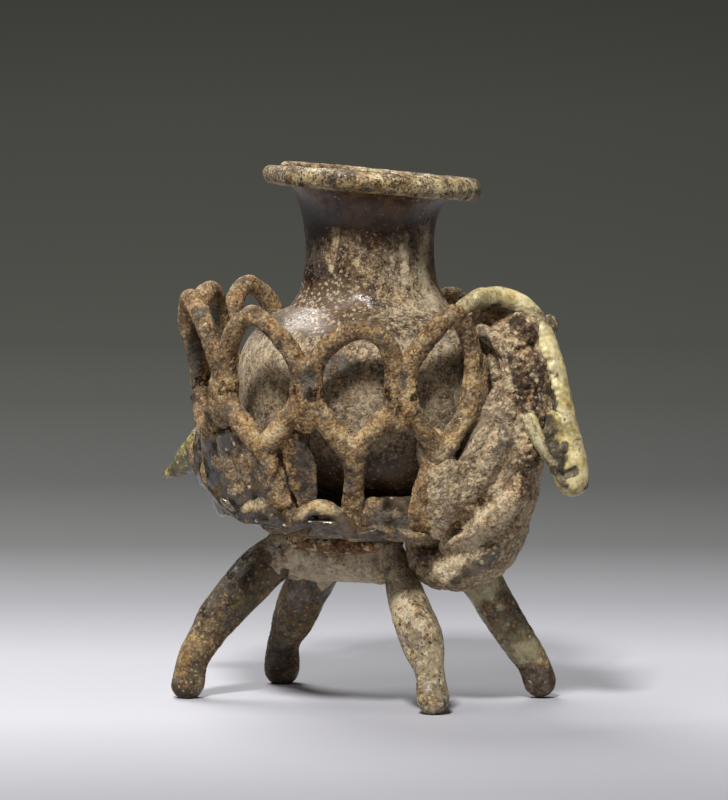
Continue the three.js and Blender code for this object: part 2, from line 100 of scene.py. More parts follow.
# An oval section carried along the rows [x, y, z, half width, half depth], closed by round ends.
# The depth points along outward, squared up to the path. Round ends are more rings, each smaller by a cosine.
def trailShell(rows, outward, sides=20, capRings=5):
    centres, widths = rows[:, :3], rows[:, 3:5]
    tangents = unit(np.gradient(centres, axis=0))
    outward = np.broadcast_to(outward, centres.shape)
    depthways = unit(outward - tangents * np.sum(outward * tangents, axis=1, keepdims=True))
    sideways = np.cross(tangents, depthways)
    capAngles = np.linspace(math.radians(80), math.radians(12), capRings)
    rowOf = np.concatenate([np.zeros(capRings, int), np.arange(len(rows)), np.full(capRings, len(rows) - 1)])
    shrink = np.concatenate([np.cos(capAngles), np.ones(len(rows)), np.cos(capAngles[::-1])])
    reach = np.concatenate([-np.sin(capAngles), np.zeros(len(rows)), np.sin(capAngles[::-1])])
    ahead = widths.min(axis=1)[rowOf] * reach
    turn = np.linspace(0, 2 * math.pi, sides, endpoint=False)
    middle = centres[rowOf] + tangents[rowOf] * ahead[:, None]
    across = (widths[rowOf, 0] * shrink)[:, None, None] * np.cos(turn)[None, :, None]
    along = (widths[rowOf, 1] * shrink)[:, None, None] * np.sin(turn)[None, :, None]
    rings = middle[:, None] + across * sideways[rowOf][:, None] + along * depthways[rowOf][:, None]
    startPole = centres[0] - tangents[0] * widths[0].min()
    endPole = centres[-1] + tangents[-1] * widths[-1].min()
    return ringShell(rings, startPole, endPole)


# An ellipsoid: rings from pole to pole
def lumpShell(centre, size, sides=28, rings=16):
    rise = np.linspace(-90, 90, rings + 2)[1:-1, None] * math.pi / 180
    turn = np.linspace(0, 2 * math.pi, sides, endpoint=False)[None, :]
    x = size[0] * np.cos(rise) * np.cos(turn)
    y = size[1] * np.cos(rise) * np.sin(turn)
    z = size[2] * np.sin(rise) * np.ones_like(turn)
    centre, pole = np.array(centre, float), np.array([0, 0, size[2]])
    return ringShell(np.stack([x, y, z], axis=-1) + centre, centre - pole, centre + pole)


# A part of a trail, thinned towards the ends where it was cut, so that it dives into its neighbour
def stubOf(rows, start, end, thin=0.62):
    count = len(rows)
    piece = rows[int(round(start * (count - 1))):int(round(end * (count - 1))) + 1].copy()
    share = np.linspace(0, 1, len(piece))
    fade = np.ones(len(piece))
    if start > 0:
        fade *= thin + (1 - thin) * smoothStep(share, 0, 0.55)
    if end < 1:
        fade *= thin + (1 - thin) * smoothStep(1 - share, 0, 0.55)
    piece[:, 3:5] *= fade[:, None]
    return piece


# Noise fields on whole arrays of points, sizes in millimetres

cellFactors, seedFactor = (374761393, 668265263, 1440662683), 974634777
mixRounds, lastShift = ((13, 1274126177), (16, 2246822519)), 15
wordMask, valueMask = 0xFFFFFFFF, 0xFFFFF


# A repeatable value from 0 to 1 for each whole-number cell: large odd factors and shifts mix its bits
def latticeValue(cells, seed):
    mixed = sum(cells[..., axis] * factor for axis, factor in enumerate(cellFactors))
    mixed = (mixed + seed * seedFactor) & wordMask
    for shift, factor in mixRounds:
        mixed = ((mixed ^ (mixed >> shift)) * factor) & wordMask
    return ((mixed ^ (mixed >> lastShift)) & valueMask) / valueMask


# Value noise, -1 to 1: the eight corners of each cell blended by an S curve along each axis
def softNoise(points, size, seed=0):
    scaled = points / size
    cell = np.floor(scaled).astype(np.int64)
    share = scaled - cell
    share = share * share * (3 - 2 * share)
    total = 0
    for corner in np.ndindex(2, 2, 2):
        step = np.array(corner)
        weight = np.prod(np.where(step == 1, share, 1 - share), axis=-1)
        total = total + weight * latticeValue(cell + step, seed)
    return total * 2 - 1


def layeredNoise(points, size, layers=3, seed=0):
    total, weight, sumWeight = 0, 1.0, 0.0
    for layer in range(layers):
        total = total + weight * softNoise(points, size / 2 ** layer, seed + 17 * layer)
        sumWeight += weight
        weight *= 0.55
    return total / sumWeight


# Rounded grains: 1 at the middle of each grain, 0 between them, from the distance to the nearest jittered point
def grainField(points, size, seed=0):
    scaled = points / size
    cell = np.floor(scaled).astype(np.int64)
    nearest = np.full(len(points), 9.0)
    for offset in np.ndindex(3, 3, 3):
        other = cell + np.array(offset) - 1
        jitter = np.stack([latticeValue(other, seed + 1 + axis) for axis in range(3)], axis=-1)
        nearest = np.minimum(nearest, np.linalg.norm(other + jitter - scaled, axis=-1))
    return np.clip(1 - nearest ** 2 * 1.6, 0, 1)


# How near each point lies to a line of points: 1 along it, and an S down to 0 at the radius.
# Several strokes [radius, points...] keep the largest value.
def strokeField(points, strokes):
    field = np.zeros(len(points))
    for radius, *line in strokes:
        line = np.array(line, float)
        near = np.where(np.all(np.abs(points - line.mean(axis=0)) < np.ptp(line, axis=0) / 2 + radius, axis=1))[0]
        if len(near) == 0:
            continue
        chosen = points[near]
        nearest = np.linalg.norm(chosen - line[0], axis=1)
        for start, end in zip(line[:-1], line[1:]):
            along = end - start
            share = np.clip((chosen - start) @ along / (along @ along), 0, 1)
            nearest = np.minimum(nearest, np.linalg.norm(chosen - start - share[:, None] * along, axis=1))
        field[near] = np.maximum(field[near], 1 - smoothStep(nearest / radius, 0.15, 1))
    return field


# Skins

def joinShells(shells):
    points, faces, start = [], [], 0
    for shellPoints, shellFaces in shells:
        points.append(shellPoints)
        faces.append(shellFaces + start)
        start += len(shellPoints)
    return np.vstack(points), np.vstack(faces)


def skinMesh(name, points, faces):
    mesh = bpy.data.meshes.new(name)
    folded = faces[:, 2] == faces[:, 3]
    triangles, quads = faces[folded][:, :3], faces[~folded]
    corners = np.concatenate([quads.reshape(-1), triangles.reshape(-1)])
    sizes = np.concatenate([np.full(len(quads), 4), np.full(len(triangles), 3)])
    mesh.vertices.add(len(points))
    mesh.vertices.foreach_set("co", points.astype(np.float32).reshape(-1))
    mesh.loops.add(len(corners))
    mesh.loops.foreach_set("vertex_index", corners.astype(np.int32))
    mesh.polygons.add(len(sizes))
    mesh.polygons.foreach_set("loop_start", np.concatenate([[0], np.cumsum(sizes)[:-1]]).astype(np.int32))
    mesh.polygons.foreach_set("use_smooth", np.ones(len(sizes), bool))
    mesh.update(calc_edges=True)
    mesh.validate()
    return mesh


def addObject(name, data):
    thing = bpy.data.objects.new(name, data)
    bpy.context.scene.collection.objects.link(thing)
    return thing


# Overlapping closed shells become one skin by a voxel remesh, and smoothing rounds the creases between them
def fusedSkin(shells, voxel, rounding):
    points, faces = joinShells(shells)
    mesh = skinMesh("fusing", points + axisShift, faces)
    block = addObject("fusing", mesh)
    join = block.modifiers.new("join", "REMESH")
    join.mode, join.voxel_size = "VOXEL", voxel
    melt = block.modifiers.new("melt", "SMOOTH")
    melt.factor, melt.iterations = 0.5, rounding
    evaluated = block.evaluated_get(bpy.context.evaluated_depsgraph_get())
    skin = evaluated.to_mesh()
    skinPoints = np.empty(len(skin.vertices) * 3, np.float32)
    skin.vertices.foreach_get("co", skinPoints)
    corners = np.empty(len(skin.loops), np.int32)
    skin.loops.foreach_get("vertex_index", corners)
    evaluated.to_mesh_clear()
    bpy.data.objects.remove(block)
    bpy.data.meshes.remove(mesh)
    return skinPoints.reshape(-1, 3).astype(float), corners.reshape(-1, 4)


def skinNormals(points, faces):
    across = points[faces[:, 2]] - points[faces[:, 0]]
    along = points[faces[:, 3]] - points[faces[:, 1]]
    folded = (faces[:, 2] == faces[:, 3])[:, None]
    along = np.where(folded, points[faces[:, 2]] - points[faces[:, 1]], along)
    faceNormals = np.cross(across, along)
    normals = np.stack([
        np.bincount(faces.reshape(-1), np.repeat(faceNormals[:, axis], 4), len(points)) for axis in range(3)
    ], axis=1)
    return unit(normals)


# What a piece's look starts from: swells and lumps of the glass, then how much crust lies on it and how it grains.
# Heights and sizes are in mm. Remesh and smoothing are set here as well.
softLook = {
    "swell": 0.3, "swellSize": 7, "lump": 0.15, "lumpSize": 2.6, "crustBias": -0.1, "crustSize": 5,
    "crustRise": 0.05, "grain": 0.16, "grainSize": 0.8, "voxel": 0.32, "rounding": 9,
}
paintNames = ("pale", "bare", "rusty", "dark")
noiseSeeds = {
    "swell": 3, "wobble": 5, "patch": 8, "flaskGrain": 9, "lump": 11, "crust": 29, "grain": 41, "hollow": 57,
    "bubble": 77, "ragged": 91, "strand": 100, "strandWidth": 107,
}
raggedSize, bubbleSize, crustEdges = 1.8, 1.3, (-0.25, 0.3)


# The surface moves along its normal by swells and lumps, ridges and valleys drawn as strokes, and rounded grains
# where the crust lies. It keeps how thick the crust is, how high a point stands in it, and the painted strokes.
def weatherSkin(points, faces, look):
    swell = layeredNoise(points, look["swellSize"], 2, noiseSeeds["swell"]) * look["swell"]
    lumps = layeredNoise(points, look["lumpSize"], 2, noiseSeeds["lump"]) * look["lump"]
    ragged = 0.6 * layeredNoise(points, raggedSize, 3, noiseSeeds["ragged"])
    attributes = {}
    for key in paintNames:
        values = strokeField(points, look.get(key, []))
        attributes[key] = smoothStep(values + ragged * smoothStep(values, 0, 0.4), 0.0, 1.2)
    cover = layeredNoise(points, look["crustSize"], 3, noiseSeeds["crust"]) + look["crustBias"]
    crust = smoothStep(cover + attributes["pale"] + attributes["dark"] - attributes["bare"], *crustEdges)
    relief = (grainField(points, look["grainSize"], noiseSeeds["grain"]) - 0.45) * 0.7
    relief = relief + layeredNoise(points, look["grainSize"] * 2.2, 2, noiseSeeds["hollow"]) * 0.7
    carved = 0
    for height, *stroke in look.get("carve", []):
        carved = carved + height * strokeField(points, [stroke])
    bubbles = grainField(points, bubbleSize, noiseSeeds["bubble"]) - 0.4
    bubbles = strokeField(points, look.get("grainy", [])) * bubbles * look.get("grainyRise", 0)
    height = swell + lumps + carved + bubbles + crust * (look["crustRise"] + look["grain"] * relief)
    moved = points + skinNormals(points, faces) * height[:, None]
    return moved, {**attributes, "crust": crust, "relief": np.clip(0.5 + 0.5 * relief + 0.9 * bubbles, 0, 1)}


def addPiece(name, points, faces, attributes, nodes, material):
    mesh = skinMesh(name, points * 0.001, faces)
    for key, values in attributes.items():
        mesh.attributes.new(key, "FLOAT", "POINT").data.foreach_set("value", values.astype(np.float32))
    mesh.materials.append(material)
    piece = addObject(name, mesh)
    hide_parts(*nodes)
    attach(piece, "root")


def meltPiece(name, shells, look, nodes, material):
    points, faces = fusedSkin(shells, look["voxel"], look["rounding"])
    moved, attributes = weatherSkin(points, faces, look)
    moved[:, 2] = np.maximum(moved[:, 2], 0)  # nothing goes below the table
    addPiece(name, moved, faces, attributes, nodes, material)


# Materials

def hexColour(text):  # sRGB hex to linear
    values = np.array([int(text[i:i + 2], 16) / 255 for i in (1, 3, 5)])
    linear = np.where(values <= 0.04045, values / 12.92, ((values + 0.055) / 1.055) ** 2.4)
    return (*linear.tolist(), 1.0)


def addNode(tree, kind, inputs=None, **settings):
    node = tree.nodes.new(kind)
    for key, value in settings.items():
        setattr(node, key, value)
    for socket, value in (inputs or {}).items():
        if isinstance(value, bpy.types.NodeSocket):
            tree.links.new(value, node.inputs[socket])
        else:
            node.inputs[socket].default_value = value
    return node


def blankMaterial(name):
    material = bpy.data.materials.new(name)
    material.use_nodes = True
    material.node_tree.nodes.clear()
    return material, material.node_tree


# Sum of levels, each times its gain, over a base
def addLevel(tree, base, *parts):
    level = base
    for part, gain in parts:
        level = addNode(tree, "ShaderNodeMath", {0: part, 1: gain, 2: level}, operation="MULTIPLY_ADD").outputs[0]
    return level


# Layers over a colour: each [level, cut, softness, amount, colour] shows where its level climbs past its cut.
# The masks come back too, for roughness and bump.
def addLayers(tree, colour, layers):
    masks = []
    for level, cut, soft, amount, over in layers:
        masks.append(addNode(tree, "ShaderNodeMapRange", {
            "Value": level, "From Min": cut - soft, "From Max": cut + soft, "To Max": amount,
        }, interpolation_type="SMOOTHSTEP").outputs[0])
        over = hexColour(over) if isinstance(over, str) else over
        mixed = addNode(tree, "ShaderNodeMix", {"Factor": masks[-1], 6: colour, 7: over}, data_type="RGBA")
        colour = mixed.outputs[2]
    return colour, masks


# Tones from dark to pale as the level climbs through its middle, each blending into the next
def addTones(tree, level, tones, spread):
    cuts = 0.5 + (np.arange(len(tones) - 1) - (len(tones) - 2) / 2) * spread
    steps = [(level, cut, spread * 0.7, 1.0, tone) for cut, tone in zip(cuts.tolist(), tones[1:])]
    return addLayers(tree, hexColour(tones[0]), steps)[0]


# Noises of the glass: detail, roughness, and a shift in metres that keeps them apart
noiseKinds = {
    "broad": (4.0, 0.6, 0.11), "mottle": (8.0, 0.78, 0.27), "grain": (3.0, 0.75, 0.43), "stain": (6.0, 0.74, 0.83),
}
# What each level is summed from, noises and painted attributes, with their gains
levelGains = {
    "glass": {"broad": 0.5, "mottle": 0.5, "dark": -0.12, "relief": 0.2},
    "film": {"stain": 1.0, "film": 0.5, "bare": -0.1, "dark": -0.2},
    "tone": {
        "mottle": 0.55, "grain": 0.35, "broad": 0.25, "gritTone": 0.16, "relief": 0.14, "pale": 0.1, "dark": -0.16,
    },
    "ash": {"stain": -1.0, "grain": -0.3, "rusty": -0.3},
    "rust": {"stain": 1.0, "grain": 0.3, "rusty": 0.25, "pale": -0.1},
    "crust": {"mottle": 1.0, "grain": 0.5, "crust": 0.45, "pale": 0.2, "dark": 0.15, "bare": -0.25},
    "flake": {
        "flakeEdge": -0.6, "flakeTone": 0.6, "grain": 0.6, "stain": 0.5, "film": 0.14, "bare": -0.2, "dark": -0.15,
    },
    "pit": {"grain": 0.55, "stain": 0.45, "relief": -0.12},
}
# Where each layer starts on its level, and over how much of it the layer fades in
layerCuts = {
    "film": (0.5, 0.1), "ash": (-0.65, 0.12), "rust": (0.65, 0.12), "crust": (0.95, 0.14), "flake": (0.68, 0.07),
    "pit": (0.6, 0.03),
}


# Weathered glass: mottled glass with a dull film, then crust in grains of many tones with rust and ash in it, then
# flakes and pits, and a bump that follows them. Painted attributes say where each lies thick. Sizes are in mm.
def weatheredGlass(name, finish):
    material, tree = blankMaterial(name)
    place = addNode(tree, "ShaderNodeTexCoord").outputs["Object"]
    noises = {}
    for key, (detail, rough, shift) in noiseKinds.items():
        shifted = addNode(tree, "ShaderNodeMapping", {"Vector": place, "Location": (shift, -shift, shift / 2)})
        noises[key] = addNode(tree, "ShaderNodeTexNoise", {
            "Vector": shifted.outputs[0], "Scale": 1000 / finish[key], "Detail": detail, "Roughness": rough,
        })
    grit = addNode(tree, "ShaderNodeTexVoronoi", {"Vector": place, "Scale": 1000 / finish["gritSize"]})
    warped = addNode(tree, "ShaderNodeVectorMath", {
        0: noises["mottle"].outputs["Color"], 1: (finish["flakeWarp"] / 1000,) * 3, 2: place,
    }, operation="MULTIPLY_ADD")
    squeezed = addNode(tree, "ShaderNodeMapping", {"Vector": warped.outputs[0], "Scale": finish["flakeStretch"]})
    flake = addNode(tree, "ShaderNodeTexVoronoi", {
        "Vector": squeezed.outputs[0], "Scale": 1000 / finish["flakeSize"],
    })
    sources = {key: noise.outputs["Fac"] for key, noise in noises.items()}
    for key in (*paintNames, "crust", "relief", "film"):
        sources[key] = addNode(tree, "ShaderNodeAttribute", attribute_name=key).outputs["Fac"]
    sources["gritTone"] = grit.outputs["Color"]
    sources["flakeEdge"], sources["flakeTone"] = flake.outputs["Distance"], flake.outputs["Color"]

    def levelOf(kind, base):
        return addLevel(tree, base, *((sources[key], gain) for key, gain in levelGains[kind].items()))

    def layerOf(kind, growth, amount, colour):
        return levelOf(kind, growth), *layerCuts[kind], amount, colour

    glass = addTones(tree, levelOf("glass", finish["glassBias"]), finish["glass"], finish["glassSpread"])
    film = layerOf("film", finish["filmGrowth"], finish["film"], finish["filmColour"])
    glass, (filmMask,) = addLayers(tree, glass, [film])
    tone = levelOf("tone", finish["toneBias"])
    rust = addTones(tree, tone, finish["rust"], finish["spread"] * 1.4)
    crust = addLayers(tree, addTones(tree, tone, finish["crust"], finish["spread"]), [
        layerOf("ash", finish["ashGrowth"], finish["ash"], finish["ashColour"]),
        layerOf("rust", finish["rustGrowth"], finish["rusting"], rust),
    ])[0]
    colour, (crustMask, flakeMask, pitMask) = addLayers(tree, glass, [
        layerOf("crust", finish["growth"], 1.0, crust),
        layerOf("flake", finish["flaking"], finish["flakes"], finish["flakeColour"]),
        layerOf("pit", finish["pitting"], finish["pits"], finish["pitColour"]),
    ])

    rough = addNode(tree, "ShaderNodeMix", {0: filmMask, 2: finish["gloss"], 3: finish["filmGloss"]}).outputs[0]
    rough = addNode(tree, "ShaderNodeMix", {0: crustMask, 2: rough, 3: finish["crustGloss"]}).outputs[0]
    grains = addLevel(tree, 0.2, (grit.outputs["Distance"], -0.5), (sources["grain"], 1.0))
    grains = addNode(tree, "ShaderNodeMath", {0: grains, 1: crustMask}, operation="MULTIPLY").outputs[0]
    rises = {
        "rise": crustMask, "grit": grains, "waves": sources["mottle"], "flakeRise": flakeMask, "pitRise": pitMask,
    }
    height = addLevel(tree, 0.0, *((level, finish[key]) for key, level in rises.items()))
    bump = addNode(tree, "ShaderNodeBump", {"Height": height, "Distance": 0.001})
    shader = addNode(tree, "ShaderNodeBsdfPrincipled", {
        "Base Color": colour, "Roughness": rough, "Normal": bump.outputs[0], "IOR": 1.5,
        "Transmission Weight": finish["clear"],
    })
    addNode(tree, "ShaderNodeOutputMaterial", {"Surface": shader.outputs[0]})
    return material


# What the finishes share: sizes in mm, colours from dark to pale, and how much of each layer shows. A higher bias
# or growth raises a level, so that its layer spreads.
common = {
    "broad": 7.0, "mottle": 2.4, "grain": 0.55, "stain": 2.8, "gritSize": 0.45, "growth": 0.05,
    "glass": ["#1f1a14", "#352b20", "#504130"], "glassBias": -0.1, "glassSpread": 0.08, "gloss": 0.3, "film": 0.6,
    "filmGrowth": 0.0, "filmColour": "#6f6252", "filmGloss": 0.5, "crustGloss": 0.9,
    "crust": ["#2b2218", "#584733", "#846d50", "#ab926c", "#d0bb94"], "toneBias": -0.225, "spread": 0.062,
    "rust": ["#3a2613", "#6c4a28", "#966f40"], "rusting": 0.5, "rustGrowth": 0.0, "ash": 0.45, "ashGrowth": 0.0,
    "ashColour": "#8d8476", "flakeSize": 1.1, "flakeStretch": (1, 1, 1), "flakeWarp": 2.2, "flaking": 0.0,
    "flakes": 0.8, "flakeColour": "#cfbd99", "flakeRise": 0.05, "pitting": 0.0, "pits": 0.9, "pitColour": "#17110b",
    "pitRise": -0.16, "rise": 0.08, "grit": 0.22, "waves": 0.06, "clear": 0.0,
}
# Blown flask, buried for centuries: dark glossy glass under grey-tan grit, with cream flakes on the shoulder
flaskGlass = weatheredGlass("weathered_blown_glass", {
    **common, "mottle": 1.4, "grain": 0.36, "glass": ["#2a1b10", "#473019", "#684729"], "gloss": 0.2,
    "filmGrowth": -0.22, "film": 0.7, "filmColour": "#5c4935", "filmGloss": 0.32, "spread": 0.07,
    "crust": ["#3a2d20", "#725f46", "#a48f6c", "#c6b28f", "#e2d2b0"], "rusting": 0.45, "flakeSize": 0.8,
    "flakeStretch": (1, 1, 1.3), "flaking": -0.12, "growth": 0.0, "flakeColour": "#c9b393",
})
# Opaque cream trail: dense and waxy, with brown stains in its pits
rimGlass = weatheredGlass("opaque_cream_glass", {
    **common, "mottle": 1.4, "grain": 0.4, "glass": ["#6a5230", "#a38a5c", "#cdb98c"], "filmColour": "#c0b394",
    "film": 0.4, "crust": ["#22160b", "#573c20", "#8f7143", "#bea674", "#e4d6ae"], "growth": 0.1, "crustGloss": 0.6,
    "rusting": 0.6, "grit": 0.16, "pitting": 0.13, "spread": 0.085, "ash": 0.2, "flaking": -0.3,
})
# Trails of dark blue-green glass under orange-tan grit, mostly matt
cageGlass = weatheredGlass("crusted_trail_glass", {
    **common, "mottle": 2.0, "glass": ["#191b18", "#26251f", "#3c3427"], "gloss": 0.4, "film": 0.15, "growth": 0.0,
    "crust": ["#281f14", "#544129", "#80663f", "#aa8d5f", "#d1b788"], "rusting": 0.6, "rustGrowth": 0.02,
    "ash": 0.3, "flaking": -0.25, "grit": 0.3, "spread": 0.068,
})
# Glossy dark dish with webs, its edges clear, crusted in patches
trayGlass = weatheredGlass("glossy_tray_glass", {
    **common, "glass": ["#211b14", "#3b3025", "#5c4c38"], "gloss": 0.14, "filmGloss": 0.4, "film": 0.3,
    "filmColour": "#5d5448", "growth": 0.0, "flaking": -0.25, "spread": 0.072,
    "crust": ["#221910", "#463725", "#6f5b3d", "#9d8459", "#cfb686"],
})
# Rust-brown crust, pitted
padGlass = weatheredGlass("rust_crust", {
    **common, "rusting": 1.0, "rustGrowth": 0.3, "growth": 0.3, "pitting": 0.06, "ash": 0.0,
})
# Belly: cloudy grey-beige glass. Its tones are paler than the glass, painted light on a bar that the tray shades.
bellyGlass = weatheredGlass("cloudy_animal_glass", {
    **common, "mottle": 1.8, "glass": ["#5d4f3c", "#978366", "#c0ad8d"], "filmColour": "#dccbac", "growth": 0.1,
    "gloss": 0.4, "crust": ["#574937", "#9c8669", "#c9b189", "#e0caa1", "#eeddb9"], "flaking": -0.12, "waves": 0.1,
    "ash": 0.5, "ashColour": "#b5aa95", "spread": 0.05, "pitting": 0.05,
})
# Rear legs: dark olive-brown glass with gold and cream flakes
legDarkGlass = weatheredGlass("dark_olive_leg_glass", {
    **common, "glass": ["#221a10", "#3c2f1b", "#5f4c2b"], "filmColour": "#6d5f4a", "film": 0.4, "gloss": 0.22,
    "growth": 0.0, "mottle": 1.5, "crust": ["#1b140c", "#3c2f1d", "#614d2f", "#866f45", "#b39c66"],
    "flakeColour": "#b8a06c", "flaking": -0.13, "flakes": 0.65, "flakeSize": 0.8, "spread": 0.075, "ash": 0.25,
})
# Front right leg: mottled cream, tan and grey with black specks
legPaleGlass = weatheredGlass("mottled_tan_leg_glass", {
    **common, "glass": ["#4d412f", "#857251", "#b5a177"], "filmColour": "#9a9079", "growth": 0.12, "mottle": 1.6,
    "crust": ["#3a2f20", "#745f43", "#a38a61", "#c6ae80", "#e0cca2"], "pitting": 0.08, "ash": 0.6,
    "ashColour": "#a19a8b", "flaking": -0.08, "spread": 0.055,
})
# Front left leg: clearer greenish grey glass, brown crust at its top and foot
legGreyGlass = weatheredGlass("clear_grey_green_leg_glass", {
    **common, "glass": ["#61583a", "#968a64", "#bbb08a"], "gloss": 0.2, "growth": 0.0, "filmColour": "#a99a70",
    "film": 0.4, "crust": ["#3a2c1e", "#665034", "#8c724d", "#ad9366"], "clear": 0.1, "flaking": -0.15,
})
# Tan and grey grit baked over the chest, matt throughout
chestGlass = weatheredGlass("tan_chest_crust", {
    **common, "glass": ["#4c4131", "#6d5f4a", "#877860"], "gloss": 0.5, "filmGloss": 0.6, "filmColour": "#877d6f",
    "growth": 0.2, "crust": ["#37291b", "#6b563d", "#9c8363", "#bfa780", "#dccba5"], "rusting": 0.45,
    "rustGrowth": -0.05, "mottle": 1.6, "spread": 0.072, "rise": 0.1, "grit": 0.32, "ash": 0.35,
    "ashColour": "#968b7b", "flaking": -0.05,
})
# Opaque pale yellow trail, cracked and stained black in its folds
headGlass = weatheredGlass("pale_yellow_glass", {
    **common, "mottle": 1.8, "glass": ["#86733e", "#bda96c", "#dfd09b"], "filmColour": "#ddd2ad", "film": 0.5,
    "growth": 0.0, "spread": 0.08, "gloss": 0.4, "crust": ["#2e281b", "#5c5238", "#8f805b", "#baab7f", "#d8cca2"],
    "rusting": 0.3, "pitting": 0.06, "pitColour": "#3a2e1a", "grit": 0.14, "ash": 0.25, "flaking": -0.2,
})
# Clear olive glass, left bare and bright where a knob or a spike thins out
oliveGlass = weatheredGlass("clear_olive_glass", {
    **common, "glass": ["#2f2812", "#5b5126", "#8f8449"], "gloss": 0.12, "growth": -0.02, "film": 0.2,
    "filmColour": "#a8a27c", "clear": 0.15, "waves": 0.3, "flaking": -0.1,
})
print("materials made")


# Flask: the outline is a squared-off ellipse for bowl and shoulder, then a curve through throat and mouth

flask = {
    "foot": 36.5, "radius": 27.5, "lower": 27.4, "upper": 19.6, "bowlPower": 2.25, "shoulderPower": 2.7,
    "neck": 13.4, "neckFlare": 3, "neckLength": 27.4, "mouth": 19.9, "wall": 1.7, "mouthSlope": [-0.061, -0.06],
    "lipDrop": 1.2, "columns": 256, "outsideStep": 0.5, "insideStep": 1.0, "wobble": 0.35, "wobbleSize": 16,
    "patchSize": 6, "grainSize": 1.4,
}
bodyMiddle = flask["foot"] + flask["lower"]


def flaskOutline():
    rise = np.linspace(0, math.pi / 2, 80)
    bowl = np.stack([
        flask["radius"] * np.sin(rise) ** (2 / flask["bowlPower"]),
        bodyMiddle - flask["lower"] * np.clip(np.cos(rise), 0, 1) ** (2 / flask["bowlPower"]),
    ], axis=1)
    shoulderRadius = flask["neck"] + flask["neckFlare"]
    end = math.acos((shoulderRadius / flask["radius"]) ** (flask["shoulderPower"] / 2))
    climb = np.linspace(0, end, 60)[1:]
    shoulder = np.stack([
        flask["radius"] * np.cos(climb) ** (2 / flask["shoulderPower"]),
        bodyMiddle + flask["upper"] * np.sin(climb) ** (2 / flask["shoulderPower"]),
    ], axis=1)
    foot, length, neck, mouth = shoulder[-1, 1], flask["neckLength"], flask["neck"], flask["mouth"]
    knots = [
        [shoulderRadius, foot, 0], [neck + 0.5, foot + 0.18 * length, 0], [neck, foot + 0.52 * length, 0],
        [neck + 1.6, foot + 0.78 * length, 0], [mouth - 1.6, foot + 0.91 * length, 0],
        [mouth - 0.2, foot + length - flask["lipDrop"], 0],
    ]
    upper = splineThrough(knots, 80)[1:, :2]
    return np.vstack([bowl, shoulder, upper])


outline = flaskOutline()
mouthHeight = outline[-1, 1] + flask["lipDrop"]


def tiltMouth(points):  # the mouth slopes down to the head and the left side, and the slope fades out down the neck
    throat = mouthHeight - 0.48 * flask["neckLength"]
    tilted = points.copy()
    slope = flask["mouthSlope"][0] * points[..., 0] + flask["mouthSlope"][1] * points[..., 1]
    tilted[..., 2] += slope * smoothStep(points[..., 2], throat, mouthHeight - 2.3)
    return tilted


# Turned surface: the outline outside, a half-round lip, and the same outline a wall thickness in
def flaskSkin():
    flat = np.column_stack([outline, np.zeros(len(outline))])
    length = np.sum(np.linalg.norm(np.diff(outline, axis=0), axis=1))
    outside = evenRows(flat, int(length / flask["outsideStep"]))[:, :2]
    along = unit(np.gradient(outside, axis=0))
    inward = np.stack([-along[:, 1], along[:, 0]], axis=1)
    inside = outside + inward * flask["wall"]
    keep = inside[:, 0] > 0.4
    step = int(flask["insideStep"] / flask["outsideStep"])
    inside = inside[keep][::-1][step::step]
    lipTurn = np.linspace(0, math.pi, 8)[1:-1, None]
    middle = (outside[-1] + outside[-1] + inward[-1] * flask["wall"]) / 2
    half = flask["wall"] / 2
    lip = middle - inward[-1] * half * np.cos(lipTurn) + along[-1] * half * np.sin(lipTurn)
    profile = np.vstack([outside[1:], lip, inside])
    turn = np.linspace(0, 2 * math.pi, flask["columns"], endpoint=False)
    rings = np.stack([
        profile[:, None, 0] * np.cos(turn), profile[:, None, 0] * np.sin(turn),
        np.broadcast_to(profile[:, None, 1], (len(profile), len(turn))),
    ], axis=-1)
    points, faces = ringShell(rings, np.array([0, 0, outside[0, 1]]), np.array([0, 0, inside[-1, 1]]))
    swell = layeredNoise(points, flask["wobbleSize"], 2, noiseSeeds["wobble"]) * flask["wobble"]
    outwards = unit(points * [1, 1, 0])
    return tiltMouth(points + outwards * swell[:, None]) + axisShift, faces


# Strokes painted on the flask, and the heights in mm between which its shoulder, neck, band and underside fade
flaskMarks = {
    "bare": [[30, [0, 0, 111], [0, 0, 112]], [7, [-9, -12, 90], [-10, -13, 100]]],
    # The dark stroke across the front at 71 mm height is a painted shadow, where the loops shade the body; the
    # other dark strokes mark darker patches on the neck and shoulder.
    "dark": [
        [5, [-19, -12, 79.5], [-13, -18, 79]], [7, [-9, -12, 89], [-10, -13, 100]],
        [9, [-14, -7, 90], [-16, -8, 101]], [4, [-1, -27, 71], [8, -25.5, 71]],
    ],
    "rusty": [
        [4, [-4, -14, 96], [-5, -13.4, 91]], [5, [3, -15, 102], [-4, -16, 103], [-11, -14, 104]],
        [6, [0, -14, 92], [6, -12.6, 86]],
    ],
    "pale": [
        [3.4, [13.6, -1, 99], [13.4, -2, 90], [15, -2, 83]], [2, [-1.5, -14.4, 97.5], [-1.4, -13.6, 94.5]],
        [1.4, [-2.7, -13.4, 91], [-2.6, -13.4, 89.5]], [1.3, [4, -13.2, 93], [3, -13.2, 91]],
        [2.4, [14.8, -1.4, 99], [13.6, -1.2, 92], [14.6, -1.4, 84]], [2, [11.6, -7.6, 96], [11.4, -7, 88]],
    ],
}
flaskFades = {
    "shoulderStart": (74, 79), "shoulderEnd": (86, 92), "neck": (86, 93), "band": (97, 101), "underside": (50, 58),
}


